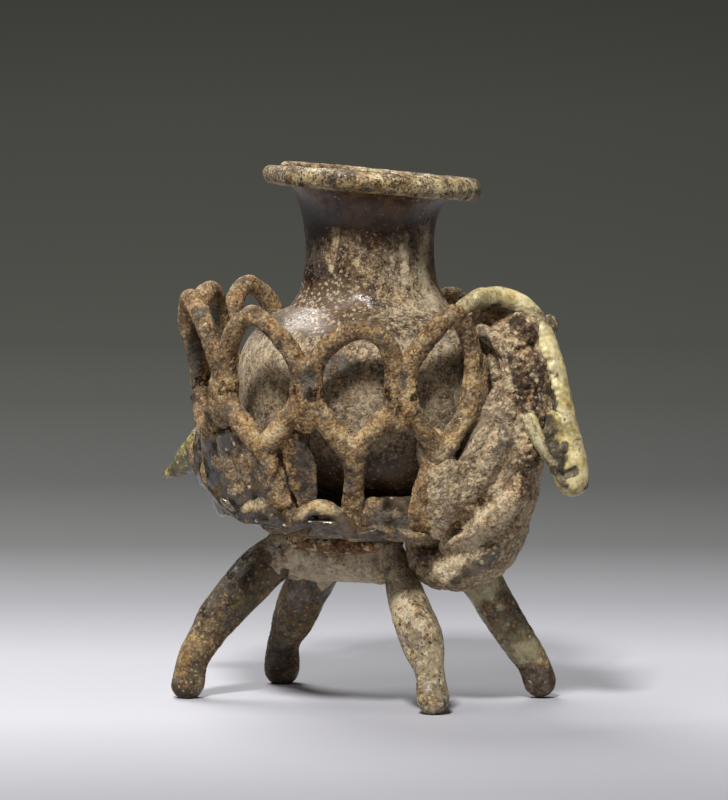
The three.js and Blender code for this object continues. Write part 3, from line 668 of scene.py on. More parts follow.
# Crust everywhere, thinner on the shoulder at the tail side, on the band below the mouth and on the underside.
# The shoulder and the underside carry the dull film.
def flaskWear(points):
    height = points[:, 2]
    fade = {key: smoothStep(height, *heights) for key, heights in flaskFades.items()}
    patches = layeredNoise(points, flask["patchSize"], 3, noiseSeeds["patch"])
    shoulder = fade["shoulderStart"] * (1 - fade["shoulderEnd"])
    low = 1 - fade["underside"]
    tailwards = smoothStep(-(points[:, 0] * 0.9 + points[:, 1] * 0.44), -4, 14)
    wear = {key: strokeField(points, flaskMarks[key]) for key in paintNames}
    wear["crust"] = np.clip(0.85 + 0.5 * patches - 0.8 * shoulder * tailwards - 0.2 * shoulder - 0.6 * fade["band"]
                            - 0.45 * low - 0.35 * fade["neck"], 0, 1)
    wear["film"] = np.clip(shoulder * (0.3 + 0.6 * tailwards) + 0.6 * low + 0.25 * patches, 0, 1)
    wear["relief"] = 0.5 + 0.5 * layeredNoise(points, flask["grainSize"], 2, noiseSeeds["flaskGrain"])
    wear["bare"] = np.maximum(wear["bare"], 0.5 * low)
    return wear


points, faces = flaskSkin()
addPiece("flask_body_glass", points, faces, flaskWear(points), ["flask_body"], flaskGlass)

# Rim: a coil wound once round the mouth. Its far end climbs over its start, which leaves a step at the back left.
rim = {
    "reach": 0.5, "drop": 1.8, "start": 171, "lap": 3, "climb": 0.9,
    "halfHeights": [1.9, 1.9, 2.1, 2.25, 2.3, 2.35, 2.5, 2.4, 2.2, 2.1, 2.0], "depth": 0.95,
    "look": {
        **softLook, "swell": 0.12, "swellSize": 6, "lump": 0.1, "lumpSize": 2.2, "crustSize": 4, "crustRise": 0.03,
        "grain": 0.1, "rounding": 8, "rusty": [[6, [-19, -8, 104.5], [-10, -17, 103.5], [0, -20, 102.5]]],
        "bare": [[6, [12, -17, 107.5], [20, -8, 107], [22, 0, 106.6]]],
        "pale": [[5, [17, -13, 107.2], [21, -5, 107], [22, 2, 106.4]], [3, [-13, -16, 107], [-6, -20, 106.5]]],
    },
}
turn = np.linspace(rim["start"], rim["start"] + 360 + rim["lap"], 280)
share = (turn - rim["start"]) / (360 + rim["lap"])
halfHeight = np.interp(share, np.linspace(0, 1, len(rim["halfHeights"])), rim["halfHeights"])
lift = rim["climb"] * smoothStep(turn, rim["start"] + 215, rim["start"] + 355)
coilRadius = flask["mouth"] + rim["reach"] + 0.4 * (halfHeight - 2)
coil = np.column_stack([
    coilRadius * np.cos(np.radians(turn)), coilRadius * np.sin(np.radians(turn)),
    np.full(len(turn), mouthHeight - rim["drop"]) + lift, halfHeight, halfHeight * rim["depth"],
])
coil[:, :3] = tiltMouth(coil[:, :3])
outwards = unit(coil[:, :3] * [1, 1, 0])
meltPiece("rim_trail_glass", [trailShell(coil, outwards)], rim["look"], ["rim_trail"], rimGlass)
print("flask made")


# Drips drawn down over the webs from the forks to the tray's edge
webRidges = [
    [0.8, 1.3, [-6.3, -32.4, 56], [-6.4, -31.4, 49.9], [-8.5, -29.7, 43.8]],
    [0.8, 1.2, [1, -31.6, 57.6], [-1.6, -30.9, 49.9], [-3.6, -30, 42.8]],
    [-0.7, 1.3, [1.6, -32.4, 54], [1.6, -31.4, 46]],
    [0.7, 1.2, [-13.8, -31.5, 54], [-13.1, -30.7, 47.9], [-10.8, -29.7, 42.2]],
    [0.8, 1.4, [-22.2, -28.1, 56], [-20.3, -28.7, 49.9], [-17.5, -28.5, 43.8]],
    [-0.6, 1.5, [-10, -32, 52], [-10, -30.5, 46]], [-0.6, 1.6, [-17.5, -30, 52], [-16, -29.5, 46]],
]

# Cage: loops above the nodes, forks below. Angles run from the right flank (0) towards the head (90).

cage = {
    "x": -4.0, "radius": 33.95, "nodeHeight": 64.1, "forkTuck": 1.6, "strand": 1.95, "fork": 2.2, "nodeMerge": 1.3,
    "springRise": 4.5, "archPower": 1.1, "wobble": 0.35, "wobbleSize": 7, "widthWobble": 0.1, "widthSize": 5,
    "nodes": [74, 42.8, 10.3, -25.5, -62, -101, -132, -169, -207, -246], "tailDip": 3.0, "tailMiddle": -72,
    "tailWidth": 36,
    "look": {
        **softLook, "swell": 0.16, "swellSize": 6, "lump": 0.14, "lumpSize": 2.2, "crustBias": 0.5, "crustSize": 6,
        "crustRise": 0.06, "grain": 0.24, "grainSize": 0.85, "voxel": 0.3,
        "dark": [
            [2.4, [15.3, -30.9, 80.2], [12, -32, 79]], [2.4, [3.5, -34.7, 70], [3.2, -34.5, 65.5]],
            [2.4, [19.6, -25.2, 70], [19.2, -26, 67]], [3, [-20.5, -28, 77], [-21.5, -29.5, 68], [-21, -29, 60]],
            [3, [-30, -19, 78], [-32, -18, 66], [-31, -18, 55]],
            [2.4, [-4, -32, 79], [-8, -33, 75], [-10, -34, 70]], [2.2, [1.5, -33, 76], [4.5, -33.6, 79]],
            [2.4, [9.5, -30, 50], [9.5, -29, 44]], [4, [1, -32, 55], [1.4, -31, 46]],
        ],
        "carve": webRidges,
        "rusty": [
            [2.4, [-2.6, -32.6, 56], [-3.4, -31, 46]], [3, [2, -34, 62], [2, -33, 58]],
            [3, [19, -26, 63], [19.5, -24, 60]], [4, [22.5, -24.5, 80], [21, -25, 83]],
            [3, [26, -19, 78], [29, -15, 68]], [3, [5, -34, 77], [9, -33.5, 80]],
        ],
        "pale": [
            [2.4, [24.5, -19.5, 53.2], [26.7, -17, 55.6], [29, -14, 59.5]],
            [1.8, [5, -32.5, 61], [8.5, -31.5, 57.8], [11.5, -30.5, 56.2], [14.5, -28.8, 58], [18, -26.5, 61]],
            [2.2, [-13.5, -34.5, 62], [-10, -35, 58.5], [-6.5, -35, 56.5], [-3, -35, 58]],
        ],
    },
}
# One row per bay: rise of its apex, roundness, sideways skew and outward lean in mm, and drop of its V
bayKeys = ("apexRise", "roundness", "skew", "lean", "crotchDrop")
bays = [dict(zip(bayKeys, row)) for row in (
    (17.6, 1.15, -1.6, 2, 11.4), (14.6, 1.8, -1.8, 2, 10.6), (17.4, 1.25, 0.4, 2, 9.6), (19.4, 1.6, 0.5, 1.8, 9.5),
    (20, 1.7, 2.4, -0.6, 8.5), (20.2, 1.8, -0.6, 2, 9.5), (19, 1.6, -1, 2.2, 10), (18, 1.4, 1.2, 1.8, 10.4),
    (17.5, 1.5, 0, 2, 9.8),
)]
bays[2].update(footTurn=11, stemWidths=[2.6, 2.2, 2.6, 2.6])
bays[3].update(footTuck=3.4)


# The cage stands closer to the flask at the tail, most of all below its nodes
def cagePoints(angle, radius, height):
    turn = np.radians(angle)
    nearTail = np.exp(-((np.asarray(angle, float) - cage["tailMiddle"]) / cage["tailWidth"]) ** 2)
    reach = radius - cage["tailDip"] * nearTail * (1 - 0.6 * smoothStep(np.asarray(height, float), 64, 80))
    return np.stack(np.broadcast_arrays(cage["x"] + reach * np.sin(turn), -reach * np.cos(turn), height), axis=-1)


def cageOutward(rows):
    return unit((rows[:, :3] - [cage["x"], 0, 0]) * [1, 1, 0])


def bayAngle(bay, along):  # along runs in mm from the bay's middle towards its second node
    start, end = cage["nodes"][bay], cage["nodes"][bay + 1]
    halfWidth = cage["radius"] * math.radians((start - end) / 2)
    return (start + end) / 2 - along / halfWidth * (start - end) / 2, halfWidth


def wobbled(rows):
    shifted = rows.copy()
    for axis in range(3):
        drift = layeredNoise(rows[:, :3], cage["wobbleSize"], 2, noiseSeeds["strand"] + axis)
        shifted[:, axis] += cage["wobble"] * drift
    breadth = layeredNoise(rows[:, :3], cage["widthSize"], 2, noiseSeeds["strandWidth"])
    shifted[:, 3:5] *= 1 + cage["widthWobble"] * breadth[:, None]
    return shifted


# A loop rises from one node, leans out over its apex and comes down to the next.
# Its sideways run is a power of a cosine and its height a power of a sine of the same angle.
def loopRows(bay):
    shape = bays[bay]
    turn = np.linspace(0, math.pi, 61)
    leg = bayAngle(bay, 0)[1] - cage["nodeMerge"]
    across = -np.sign(np.cos(turn)) * np.abs(np.cos(turn)) ** (2 / shape["roundness"])
    up = np.clip(np.sin(turn), 0, 1) ** cage["archPower"]
    along = across * leg + shape["skew"] * up * up
    radius = cage["radius"] + shape["lean"] * up
    height = cage["nodeHeight"] + cage["springRise"] + (shape["apexRise"] - cage["springRise"]) * up
    along = np.concatenate([[-leg, -leg], along, [leg, leg]])
    radius = np.concatenate([[cage["radius"]] * 2, radius, [cage["radius"]] * 2])
    ends = cage["nodeHeight"] + np.array([-3.0, 0.0])
    height = np.concatenate([ends, height, ends[::-1]])
    places = cagePoints(bayAngle(bay, along)[0], radius, height)
    widths = np.full((len(places), 2), cage["strand"])
    return wobbled(evenRows(np.column_stack([places, widths]), 90))


def forkRows(bay):
    arm = bayAngle(bay, 0)[1] - cage["nodeMerge"]
    start, drop = cage["nodeHeight"], bays[bay]["crotchDrop"]
    crotch = start - drop
    radius = cage["radius"] - cage["forkTuck"] * np.array([0, 0, 0, 0.6, 1])
    height = np.array([start + 3, start, start - 0.2 * drop, crotch + 0.3 * drop, crotch])
    sides = []
    for side in (-1, 1):
        along = side * np.array([1, 0.97, 0.86, 0.36, 0]) * arm
        places = cagePoints(bayAngle(bay, along)[0], radius, height)
        knots = np.column_stack([places, np.full((5, 2), cage["fork"])])
        sides.append(wobbled(splineThrough(knots, 40)))
    return sides


def stemRows(bay):
    shape, middle = bays[bay], bayAngle(bay, 0)[0]
    foot = middle + shape.get("footTurn", 0)
    brim = trayPoints(tray["radius"] + 1.4, tray["bottom"] + tray["depth"], (middle + foot) / 2)
    base = trayPoints(0.95 * tray["radius"] + 1.6 - shape.get("footTuck", 0), tray["bottom"] + 0.36 * tray["depth"],
                      foot)
    top = cagePoints(middle, cage["radius"] - cage["forkTuck"], cage["nodeHeight"] - shape["crotchDrop"])
    waist = (top + brim) / 2
    wide = shape.get("stemWidths", [2.4, 2.0, 2.4, 3.2])
    knots = np.array([[*top, wide[0], 2.2], [*waist, wide[1], 1.9], [*brim, wide[2], 1.9], [*base, wide[3], 1.7]])
    return wobbled(splineThrough(knots, 40))


# Glass drawn between two strands: a wide, flat trail through points [angle, radius, height, half width, half depth]
def webShell(knots):
    knots = np.array(knots, float)
    places = cagePoints(knots[:, 0], knots[:, 1], knots[:, 2])
    rows = splineThrough(np.column_stack([places, knots[:, 3:5]]), 30)
    return strandShell(wobbled(rows))


# Tray: a dish drawn out and lifted at the tail, and scalloped between the stems

tray = {
    "x": -4.0, "bottom": 34.3, "radius": 27.0, "depth": 7.8, "floor": 1.9, "wall": 1.7, "scallop": 0.8,
    "tailReach": 6.0, "tailLift": 8.0,
    "outside": [[0.0, 0], [0.5, 0], [0.76, 0.09], [0.91, 0.32], [0.98, 0.65], [1, 1]],
    "look": {
        **softLook, "swell": 0.4, "lump": 0.34, "crustRise": 0.08, "grain": 0.2, "grainSize": 0.85, "voxel": 0.34,
        "rounding": 8,
        "bare": [
            [5, [-20, -23, 38], [-10, -27, 38], [0, -28, 37], [10, -27, 36.5]],
            [9, [-38, -4, 50], [-30, -20, 46], [-24, -24, 44]],
        ],
        "pale": [
            [2.2, [-0.6, -31.8, 41], [2.6, -31.3, 43], [6, -30.4, 42.4]],
            [2, [-13.8, -30.2, 41.8], [-9.5, -31.2, 43]], [1.6, [-27, -23, 44], [-22, -26, 41]],
        ],
        "dark": [[3, [12, -25, 40], [21, -18, 39]], [4, [-36, -10, 52], [-30, -18, 50], [-22, -24, 48]]],
        "rusty": [[7, [-12, -16, 34], [2, -18, 34]], [4, [-28, -22, 50], [-20, -26, 46]]], "carve": webRidges,
    },
}

# The hanging edge [angle, radius, height, half height, half depth], ledges over it, and the webs at the tail side
trayWebs = [
    [
        [-58, 33.5, 48.5, 1.3, 1.6], [-42, 31.8, 45, 1.2, 1.8], [-29, 30.8, 41.4, 1.0, 2.0],
        [-20, 29.6, 39.2, 0.9, 2.1], [-11.6, 29.2, 39.4, 0.9, 2.1], [-5, 29, 38.8, 0.9, 2.1],
        [1.3, 29, 38, 1.0, 2.1], [8.5, 29, 39.2, 0.9, 2.1], [16.7, 29, 39.3, 0.9, 2.1], [24, 29, 37.6, 1.0, 2.1],
        [29, 28.8, 36.9, 1.1, 2.1], [38, 28.4, 37.6, 1.2, 2.2], [49, 27.6, 36.2, 1.3, 2.2],
        [60, 26.5, 36.4, 1.3, 2.2],
    ],
    [
        [3.9, 30.0, 39.8, 1.3, 1.8], [9, 30.4, 42.0, 1.6, 1.9], [15, 30.4, 42.4, 1.6, 1.9],
        [21, 30.2, 41.2, 1.4, 1.8], [26, 29.4, 38.2, 1.1, 1.7],
    ],
    [
        [-23, 30.0, 40.4, 1.5, 1.8], [-16, 30.4, 41.6, 1.8, 1.9], [-9, 30.2, 41.8, 1.6, 1.8],
        [-3, 29.6, 40, 1.1, 1.7],
    ],
    [[33, 28, 40.8, 3.5, 1.8], [44, 27.4, 40.8, 3.8, 1.9], [57, 26.6, 40.4, 3.6, 2.0]],
]
trayCurtains = [
    [[-23, 33, 57, 4.6, 1.2], [-21, 31.6, 50, 5.2, 1.2], [-19, 30.2, 43, 4.6, 1.4]],
    [
        [-42, 33.4, 57, 4.2, 1.3], [-39, 32.6, 50, 5.2, 1.5], [-37, 31.4, 44.5, 5.0, 1.6],
        [-35, 30.2, 40.6, 4.4, 1.5],
    ],
    [[-66, 34, 57, 4, 1.4], [-60, 33.6, 51, 5, 1.8], [-55, 33, 47, 4.4, 1.8]],
    [[-12, 33, 55, 2.2, 1.2], [-10, 31.4, 48, 3.0, 1.2], [-8, 30, 42, 2.6, 1.3]],
]
trayLumps = [[[-34.6, -4, 51], [4, 5, 5]], [[-30.5, -6, 46.2], [5, 7, 4.6]], [[-26, -13, 44], [5, 5.5, 4]]]


def bayWave(angle):  # -1 in the middle of a bay, 1 at its nodes
    nodes = np.array(cage["nodes"] + [cage["nodes"][0] - 360.0])
    below = np.mod(nodes[0] - angle, 360)
    edges = nodes[0] - nodes
    bay = np.clip(np.searchsorted(edges, below, side="right") - 1, 0, len(nodes) - 2)
    share = 2 * (below - edges[bay]) / (edges[bay + 1] - edges[bay]) - 1
    return -np.cos(math.pi * share)


def trayPoints(radius, height, angle):
    turn = np.radians(angle)
    tailwards = np.clip(-np.sin(turn), 0, 1) ** 2
    brimwards = (radius / tray["radius"]) ** 2
    wave = tray["scallop"] * bayWave(np.asarray(angle, float))
    reach = radius + (tray["tailReach"] * tailwards + wave) * brimwards
    lifted = height + tray["tailLift"] * tailwards * brimwards
    return np.stack(np.broadcast_arrays(tray["x"] + reach * np.sin(turn), -reach * np.cos(turn), lifted), axis=-1)


def trayShell():
    radius, wall, bottom = tray["radius"], tray["wall"], tray["bottom"]
    floor, brim = bottom + tray["floor"], bottom + tray["depth"]
    outside = [[out * radius, bottom + up * tray["depth"]] for out, up in tray["outside"]]
    inside = [[radius - wall, brim], [0.96 * radius - wall, floor + 3.5], [0.84 * radius - wall, floor + 1.2],
              [0.6 * radius, floor], [0.01, floor]]
    profile = evenRows(np.array([[*point, 0.0] for point in outside + inside]), 120)[1:-1, :2]
    angle = np.linspace(0, 360, 240, endpoint=False)
    rings = trayPoints(profile[:, None, 0], profile[:, None, 1], angle[None, :])
    return ringShell(rings, np.array([tray["x"], 0, bottom]), np.array([tray["x"], 0, floor]))


def strandShell(rows):
    return trailShell(rows, cageOutward(rows))


loops = [loopRows(bay) for bay in range(len(bays))]
forks = [forkRows(bay) for bay in range(len(bays))]
stems = [stemRows(bay) for bay in range(len(bays))]
webs = {
    0: [[[60, 32, 54.5, 3.4, 1.8], [59, 30.5, 49, 4.0, 1.6], [58, 29, 43, 4.4, 1.6], [57, 28, 38.5, 4.4, 1.6]]],
    1: [[[24.5, 32.2, 56, 3.4, 1.6], [26, 31, 52, 2.2, 1.5]]],
    2: [
        [
            [3.5, 32.2, 57, 3.2, 1.0], [6.5, 31.4, 51, 3.4, 0.9], [8, 30.8, 46.4, 2.6, 0.9],
            [8, 30.2, 42.5, 1.9, 1.0],
        ],
        [[-8, 32.4, 55.5, 3, 1.3], [-6, 31, 49, 2.4, 1.2], [-4, 30, 43, 2, 1.2]],
    ],
}


# The thick place where the strands run together over a node: [rise, step out, half width, half depth] up through it
def nodeLump(node):
    return webShell([
        [cage["nodes"][node], cage["radius"] + out, cage["nodeHeight"] + rise, wide, deep]
        for rise, out, wide, deep in ((-4.5, 0.1, 2.3, 1.7), (0, 0, 2.7, 1.9), (7.5, 0.4, 2.3, 1.8))
    ])


# A piece ends in short stubs of its neighbours, so that its skin closes inside theirs
loopStub, armStub = 0.16, 0.5
for bay in range(len(bays)):
    loopShells = [strandShell(loops[bay]), nodeLump(bay + 1)]
    forkShells = [strandShell(rows) for rows in forks[bay] + [stems[bay]]]
    forkShells += [webShell(knots) for knots in webs.get(bay, [])]
    if bay == 0:
        loopShells.append(nodeLump(0))
    loopEnds = [stubOf(loops[bay], 0, loopStub), stubOf(loops[bay], 1 - loopStub, 1)]
    neighbours = []
    if bay > 0:
        neighbours.append([stubOf(loops[bay - 1], 1 - loopStub, 1), stubOf(forks[bay - 1][1], 0, armStub)])
    if bay < len(bays) - 1:
        neighbours.append([stubOf(loops[bay + 1], 0, loopStub), stubOf(forks[bay + 1][0], 0, armStub)])
    for loopEnd, armEnd in neighbours:
        loopShells += [strandShell(loopEnd), strandShell(armEnd)]
        forkShells += [strandShell(armEnd), strandShell(loopEnd)]
    loopShells += [strandShell(stubOf(rows, 0, armStub)) for rows in forks[bay]]
    forkShells += [strandShell(rows) for rows in loopEnds]
    for part, shells in (("loop", loopShells), ("fork", forkShells)):
        node = f"cage_{part}_{bay + 1}"
        meltPiece(node + "_trail", shells, cage["look"], [node], cageGlass)
print("cage made")

# An edge or ledge runs round the tray, so its depth points outwards and its width up
trayShells = [trayShell()] + [webShell(knots) for knots in trayWebs + trayCurtains]
trayShells += [lumpShell(centre, size) for centre, size in trayLumps]
meltPiece("tray_glass_dish", trayShells, tray["look"], ["tray"], trayGlass)
print("tray made")


# Animal

sideView = np.array([0.0, -1.0, 0.001])


def roundRows(knots, count=50):  # knots [x, y, z, half width, half depth], or one radius for both
    knots = np.array(knots, float)
    return splineThrough(knots if knots.shape[1] == 5 else np.column_stack([knots, knots[:, 3]]), count)


legs = {
    "leg_rear_right": {
        "line": [
            [-16, -1.5, 30.4, 4.2], [-20.5, -2.5, 28.6, 4.8], [-24.5, -5.5, 24.5, 4.9], [-29.7, -11, 16.6, 4.3],
            [-33.3, -14.4, 9.2, 3.3], [-34.6, -15.6, 2.9, 3.5],
        ],
        "pale": [[1.6, [-26, -12, 19.5]]], "rusty": [[4, [-33.5, -17, 7]]],
        "dark": [[4, [-28, -12, 22], [-30, -13, 14]], [4, [-35, -17, 2]]], "glass": legDarkGlass,
    },
    "leg_rear_left": {
        "line": [
            [-13.6, 2.6, 26.4, 5], [-16.9, 5, 22.4, 5], [-21.9, 9, 15.4, 4.5], [-26.1, 12.5, 9.5, 3.5],
            [-27.8, 14.4, 3.3, 3.8],
        ],
        "carve": [[0.5, 0.9, [-12.5, -0.5, 24], [-17, 3, 15], [-20.5, 7, 10]]],
        "dark": [[6, [-24, 9, 14], [-28, 12, 3]]], "glass": legDarkGlass,
    },
    "leg_front_right": {
        "line": [
            [7.2, -4.4, 31.4, 2.6], [9.9, -6.6, 27, 3.3], [13.8, -9.7, 21, 4.2], [17.7, -12.6, 14.6, 4.5],
            [20.8, -15, 8.4, 3.1], [22, -16, 3.1, 3.5],
        ],
        "carve": [[-0.6, 1.0, [9.5, -9.5, 27], [14.5, -14, 18.5], [17, -16.5, 13]]],
        # The pale stroke down the top of the leg is painted light, on a part that the tray shades.
        "pale": [[5.5, [9.6, -12, 29], [13.5, -15, 20]]],
        "dark": [[2.2, [9, -13.5, 24], [13, -16.5, 15], [16, -18, 9]]], "glass": legPaleGlass,
    },
    "leg_front_left": {
        "line": [
            [21.8, 3.4, 28, 4.4], [24.8, 7.4, 20.8, 4.1], [28, 12, 12.6, 3.7], [30, 15.2, 7.6, 3.3],
            [31, 16.8, 3.6, 3.5],
        ],
        "dark": [[6, [30.5, 15, 5], [31.5, 16, 3]]], "glass": legGreyGlass,
        "carve": [
            [0.6, 1.4, [32.5, 13.5, 8], [33, 15, 6.6]], [0.4, 0.8, [25.5, 1.5, 26], [29, 5, 17], [31, 9, 11]],
        ],
    },
}
legRows = {name: roundRows(leg["line"]) for name, leg in legs.items()}
bellyLook = {**softLook, "crustBias": -0.2, "swell": 0.45, "dark": [[5, [-22, -8, 30], [-19, -9, 30]]]}
bellyShells = [
    trailShell(roundRows([[-21, 0, 29, 4.6], [-9, -0.5, 29.4, 5.2], [3.5, -0.5, 29, 4.8]]), sideView),
    lumpShell([-17, -3.2, 31], [5.5, 4.2, 4.6]), lumpShell([3.5, -2, 27.8], [4, 4.2, 3.6]),
]
bellyShells += [trailShell(stubOf(legRows[name], 0, 0.4), sideView) for name in legs if name != "leg_front_left"]
meltPiece("belly_bar", bellyShells, bellyLook, ["belly"], bellyGlass)
for name, leg in legs.items():
    look = {**softLook, **{key: leg[key] for key in ("pale", "rusty", "dark", "carve") if key in leg}}
    meltPiece(name + "_trail", [trailShell(legRows[name], sideView)], look, [name], leg["glass"])
padShell = lumpShell([-5.5, -1.5, 32.7], [13.5, 9, 2.8])
meltPiece("saddle_pad_crust", [padShell], {**softLook, "grain": 0.3}, ["saddle_pad"], padGlass)

# Chest: the neck trail, the folds of glass over it, and the crumbly mane up to the pale trail
chest = {
    "breadth": 1.8,
    "line": [
        [13, 0, 33.5, 3.8], [15, 0, 29.4, 4.6], [20.4, 0, 28.6, 5], [26.4, 0, 32.4, 5.4], [30.2, 0, 41, 5.4],
        [32.7, 0, 50, 5.1], [35.1, 0, 58, 4.7], [36.1, 0, 66, 4.4], [34.4, 0, 73.6, 4], [29.4, 0, 79.8, 3.2],
    ],
    "folds": [
        [[24, -12.5, 44, 2.2], [26, -12, 49, 2.6], [28.5, -11, 55, 2.4], [31, -9, 61, 2.2], [33, -8, 66, 1.8]],
        [[21.5, -11, 39, 2.2], [26, -11, 44, 2.8], [31, -9.5, 51, 2.8], [34.5, -8, 58, 2.2]],
        [[23, -9.5, 34, 2.4], [28, -10, 37, 3.0], [33, -8, 40.5, 3.0], [36, -5, 46, 2.6]],
        [[15, -5, 30, 3.6], [19.5, -6, 28.5, 4.2], [25, -6.5, 30.5, 4.2], [31, -5, 36, 3.8], [34.5, -3, 43, 3.2]],
        [[25, -8, 79.8, 1.5], [30, -8.5, 77, 1.7], [34, -7.5, 72.5, 1.7], [35, -7.5, 66, 1.6]],
        [[22, -16, 55, 3.2], [23, -14.5, 49, 4.2], [22.5, -13, 43, 4.2], [21, -12, 38.5, 3.4]],
    ],
    "lumps": [
        [[37, -1.5, 69], [4.4, 6.2, 7]], [[35.2, -2, 76.6], [4.4, 5, 5]], [[37.6, -2.5, 61], [4, 5.6, 6]],
        [[37.5, -3, 54], [3, 5, 5]], [[27.5, -3.5, 80.6], [4, 4, 2.4]], [[34.5, -7.5, 61.5], [3, 2.6, 4]],
        [[28.5, -10, 41], [3.5, 2.4, 2.2]], [[15.5, -3, 35.2], [4.5, 4.5, 3.6]], [[31.2, -4.4, 72], [2.8, 2.8, 7]],
        [[25.4, -8, 40.4], [3, 2.6, 3]], [[26.6, -10, 55], [2.4, 2, 5]],
    ],
    "look": {
        **softLook, "swell": 0.45, "swellSize": 6, "lump": 0.4, "lumpSize": 2.4, "crustBias": 0.25, "grain": 0.34,
        "grainSize": 1.0, "rounding": 7,
        "pale": [
            [3.2, [20.2, -9, 26], [24.2, -11.5, 30.3], [27.1, -12, 33], [31.4, -10.5, 36.5]],
            [2.2, [31, -7, 78.4], [33.6, -7, 74], [34.6, -8, 68]], [2.4, [25, -14, 45], [28, -12, 49]],
            [2, [30, -12, 40], [34, -9, 44]],
        ],
        "bare": [
            [2, [24, -15, 48], [27, -13.5, 54], [31, -11, 61]], [2, [18, -9, 25], [26, -10, 27], [32, -7, 33]],
        ],
        "rusty": [
            [4.5, [40, -3, 62], [39.5, -4, 56], [38, -5, 50], [36, -6, 45]],
            [5, [38, -6, 76], [38.5, -6, 70], [38, -6, 64]], [3, [36, -5, 80], [32, -5, 80]],
        ],
        # The dark stroke low at the front, from 31 to 38 mm up, is painted shade: the tray's shadow on the knob and
        # in the hollow by the front right leg. The others mark darker crust on the mane, the side and a fold.
        "dark": [
            [3, [35.5, -6, 80], [39.6, -5, 77], [41, -5, 71], [41.4, -5, 66], [40.5, -6, 62]],
            [3, [37, -7.5, 72], [38, -7.5, 63]], [3, [39.6, -5, 58], [39.4, -5, 50], [37.5, -6, 45]],
            [3, [16, -8, 31], [18, -9, 35], [22, -11, 38]], [2.2, [22, -15, 46], [25.5, -13.5, 53]],
        ],
        "grainy": [[5, [33, -7, 77], [37.5, -7, 77.5], [38, -7, 72], [38, -6.5, 66], [38.5, -6, 60], [39, -6, 53]]],
        "grainyRise": 0.9,
        "carve": [
            [-1.4, 2.2, [19.2, -9, 36.3], [26.2, -12, 37.6], [31.5, -10.5, 43]],
            [-1.1, 1.8, [23, -15, 47], [26.5, -13, 53.5], [30.5, -10.5, 60]],
            [-1.1, 2.0, [24, -12, 32.5], [30, -11, 36], [34, -8, 39.5]],
            [-1.2, 1.5, [30.4, -9, 76], [33, -9, 70], [33.6, -9, 64]],
        ],
    },
}
chestRows = roundRows(chest["line"], 80)
chestRows[:, 3] *= chest["breadth"]
chestShells = [trailShell(chestRows, np.array([1.0, 0, 0.001]))]
chestShells += [trailShell(roundRows(line), sideView) for line in chest["folds"]]
chestShells += [lumpShell(centre, size) for centre, size in chest["lumps"]]
meltPiece("neck_and_chest", chestShells, chest["look"], ["neck"], chestGlass)

# Head: the pale trail from the first loop over the mane and down to the muzzle, where it folds back up as the jaw
head = {
    "line": [
        [26.4, -14.5, 80.6, 1.3, 1.5], [27.4, -13.6, 82.6, 1.6, 1.8], [29.5, -9.4, 84.4, 2.0, 2.2],
        [33, -4, 84.2, 2.1, 2.4], [37, -1, 80.8, 2.1, 2.4], [40.4, -0.6, 74.4, 2.1, 2.4],
        [43.3, -0.6, 66.6, 1.6, 2.2], [45.5, -0.6, 57.6, 1.7, 2.2], [46.4, -0.6, 50.6, 2.8, 2.9],
        [45.8, -0.4, 47, 3.5, 3.1],
    ],
    "jaw": [
        [45.2, -1.2, 47.4, 2.8], [44, -3.2, 50.4, 1.9], [42, -5.2, 53.8, 1.7], [40.3, -6.6, 57.4, 1.7],
        [39.4, -7.2, 59.8, 1.5],
    ],
    "cheek": [[[42.6, -3.2, 56.6], [2.5, 1.7, 5]], [[44, -3, 52], [2.6, 1.8, 4.6]]],
    "look": {
        **softLook, "swell": 0.2, "lump": 0.18, "lumpSize": 2, "crustBias": -0.3, "grain": 0.12,
        "pale": [[1.9, [39.2, -8.6, 60.4], [42, -7, 54], [44, -5.4, 50.4]]],
        "dark": [
            [3.2, [42.2, -4.6, 62.5], [42.9, -4.8, 57], [43.8, -4.6, 52.5]],
            [1.8, [43.5, -4.6, 49.8], [45.6, -4.2, 48.6], [47.6, -3.4, 49.6]],
            [1.5, [45.6, -3.8, 55], [45.2, -4.4, 50]], [1.4, [43.8, -4.4, 47.4], [45.8, -4, 46.4]],
            [1.8, [29, -12, 81], [31, -8, 82.4], [35, -5.5, 80.6], [38, -4, 76]],
        ],
        "grainy": [[3, [36.5, -3, 81.5], [40, -2.5, 74.4], [42.6, -2.5, 66.6], [43, -2.5, 61]]], "grainyRise": 0.75,
        "carve": [
            [-0.7, 0.9, [43.2, -4.6, 51], [45.4, -4, 48.4], [47.8, -3.2, 50]],
            [-0.6, 0.8, [44.6, -4.4, 45.6], [45.6, -4, 48], [46, -4, 53]],
            [-0.6, 1.2, [41.4, -6, 62], [43, -5.6, 57], [44.2, -5, 52]],
        ],
    },
}
headShells = [trailShell(roundRows(head["line"], 80), sideView), trailShell(roundRows(head["jaw"], 40), sideView)]
headShells += [lumpShell(centre, size) for centre, size in head["cheek"]]
meltPiece("head_trail", headShells, head["look"], ["head"], headGlass)
earShell = lumpShell([39, 3.2, 78.4], [1.8, 2.6, 2.4])
meltPiece("ear_knob", [earShell], head["look"], ["ear"], oliveGlass)

tail = {
    "root": [[-38.6, -1, 51], [3.4, 4, 4.6]],
    "line": [
        [-38, -1, 50.4, 4.4, 3.4], [-41.4, -0.5, 48.8, 3.5, 2.8], [-44.6, 0, 46.4, 1.9, 2.0],
        [-48.2, 0, 44.4, 0.7, 0.9],
    ],
}
tailShells = [lumpShell(*tail["root"]), trailShell(roundRows(tail["line"]), sideView)]
tailLook = {**softLook, "lump": 0.25, "crustBias": -0.4}
meltPiece("tail_spike", tailShells, tailLook, ["tail"], oliveGlass)
print("animal made")


# Stage: a pale floor that runs into a grey backdrop, soft lamps and the camera

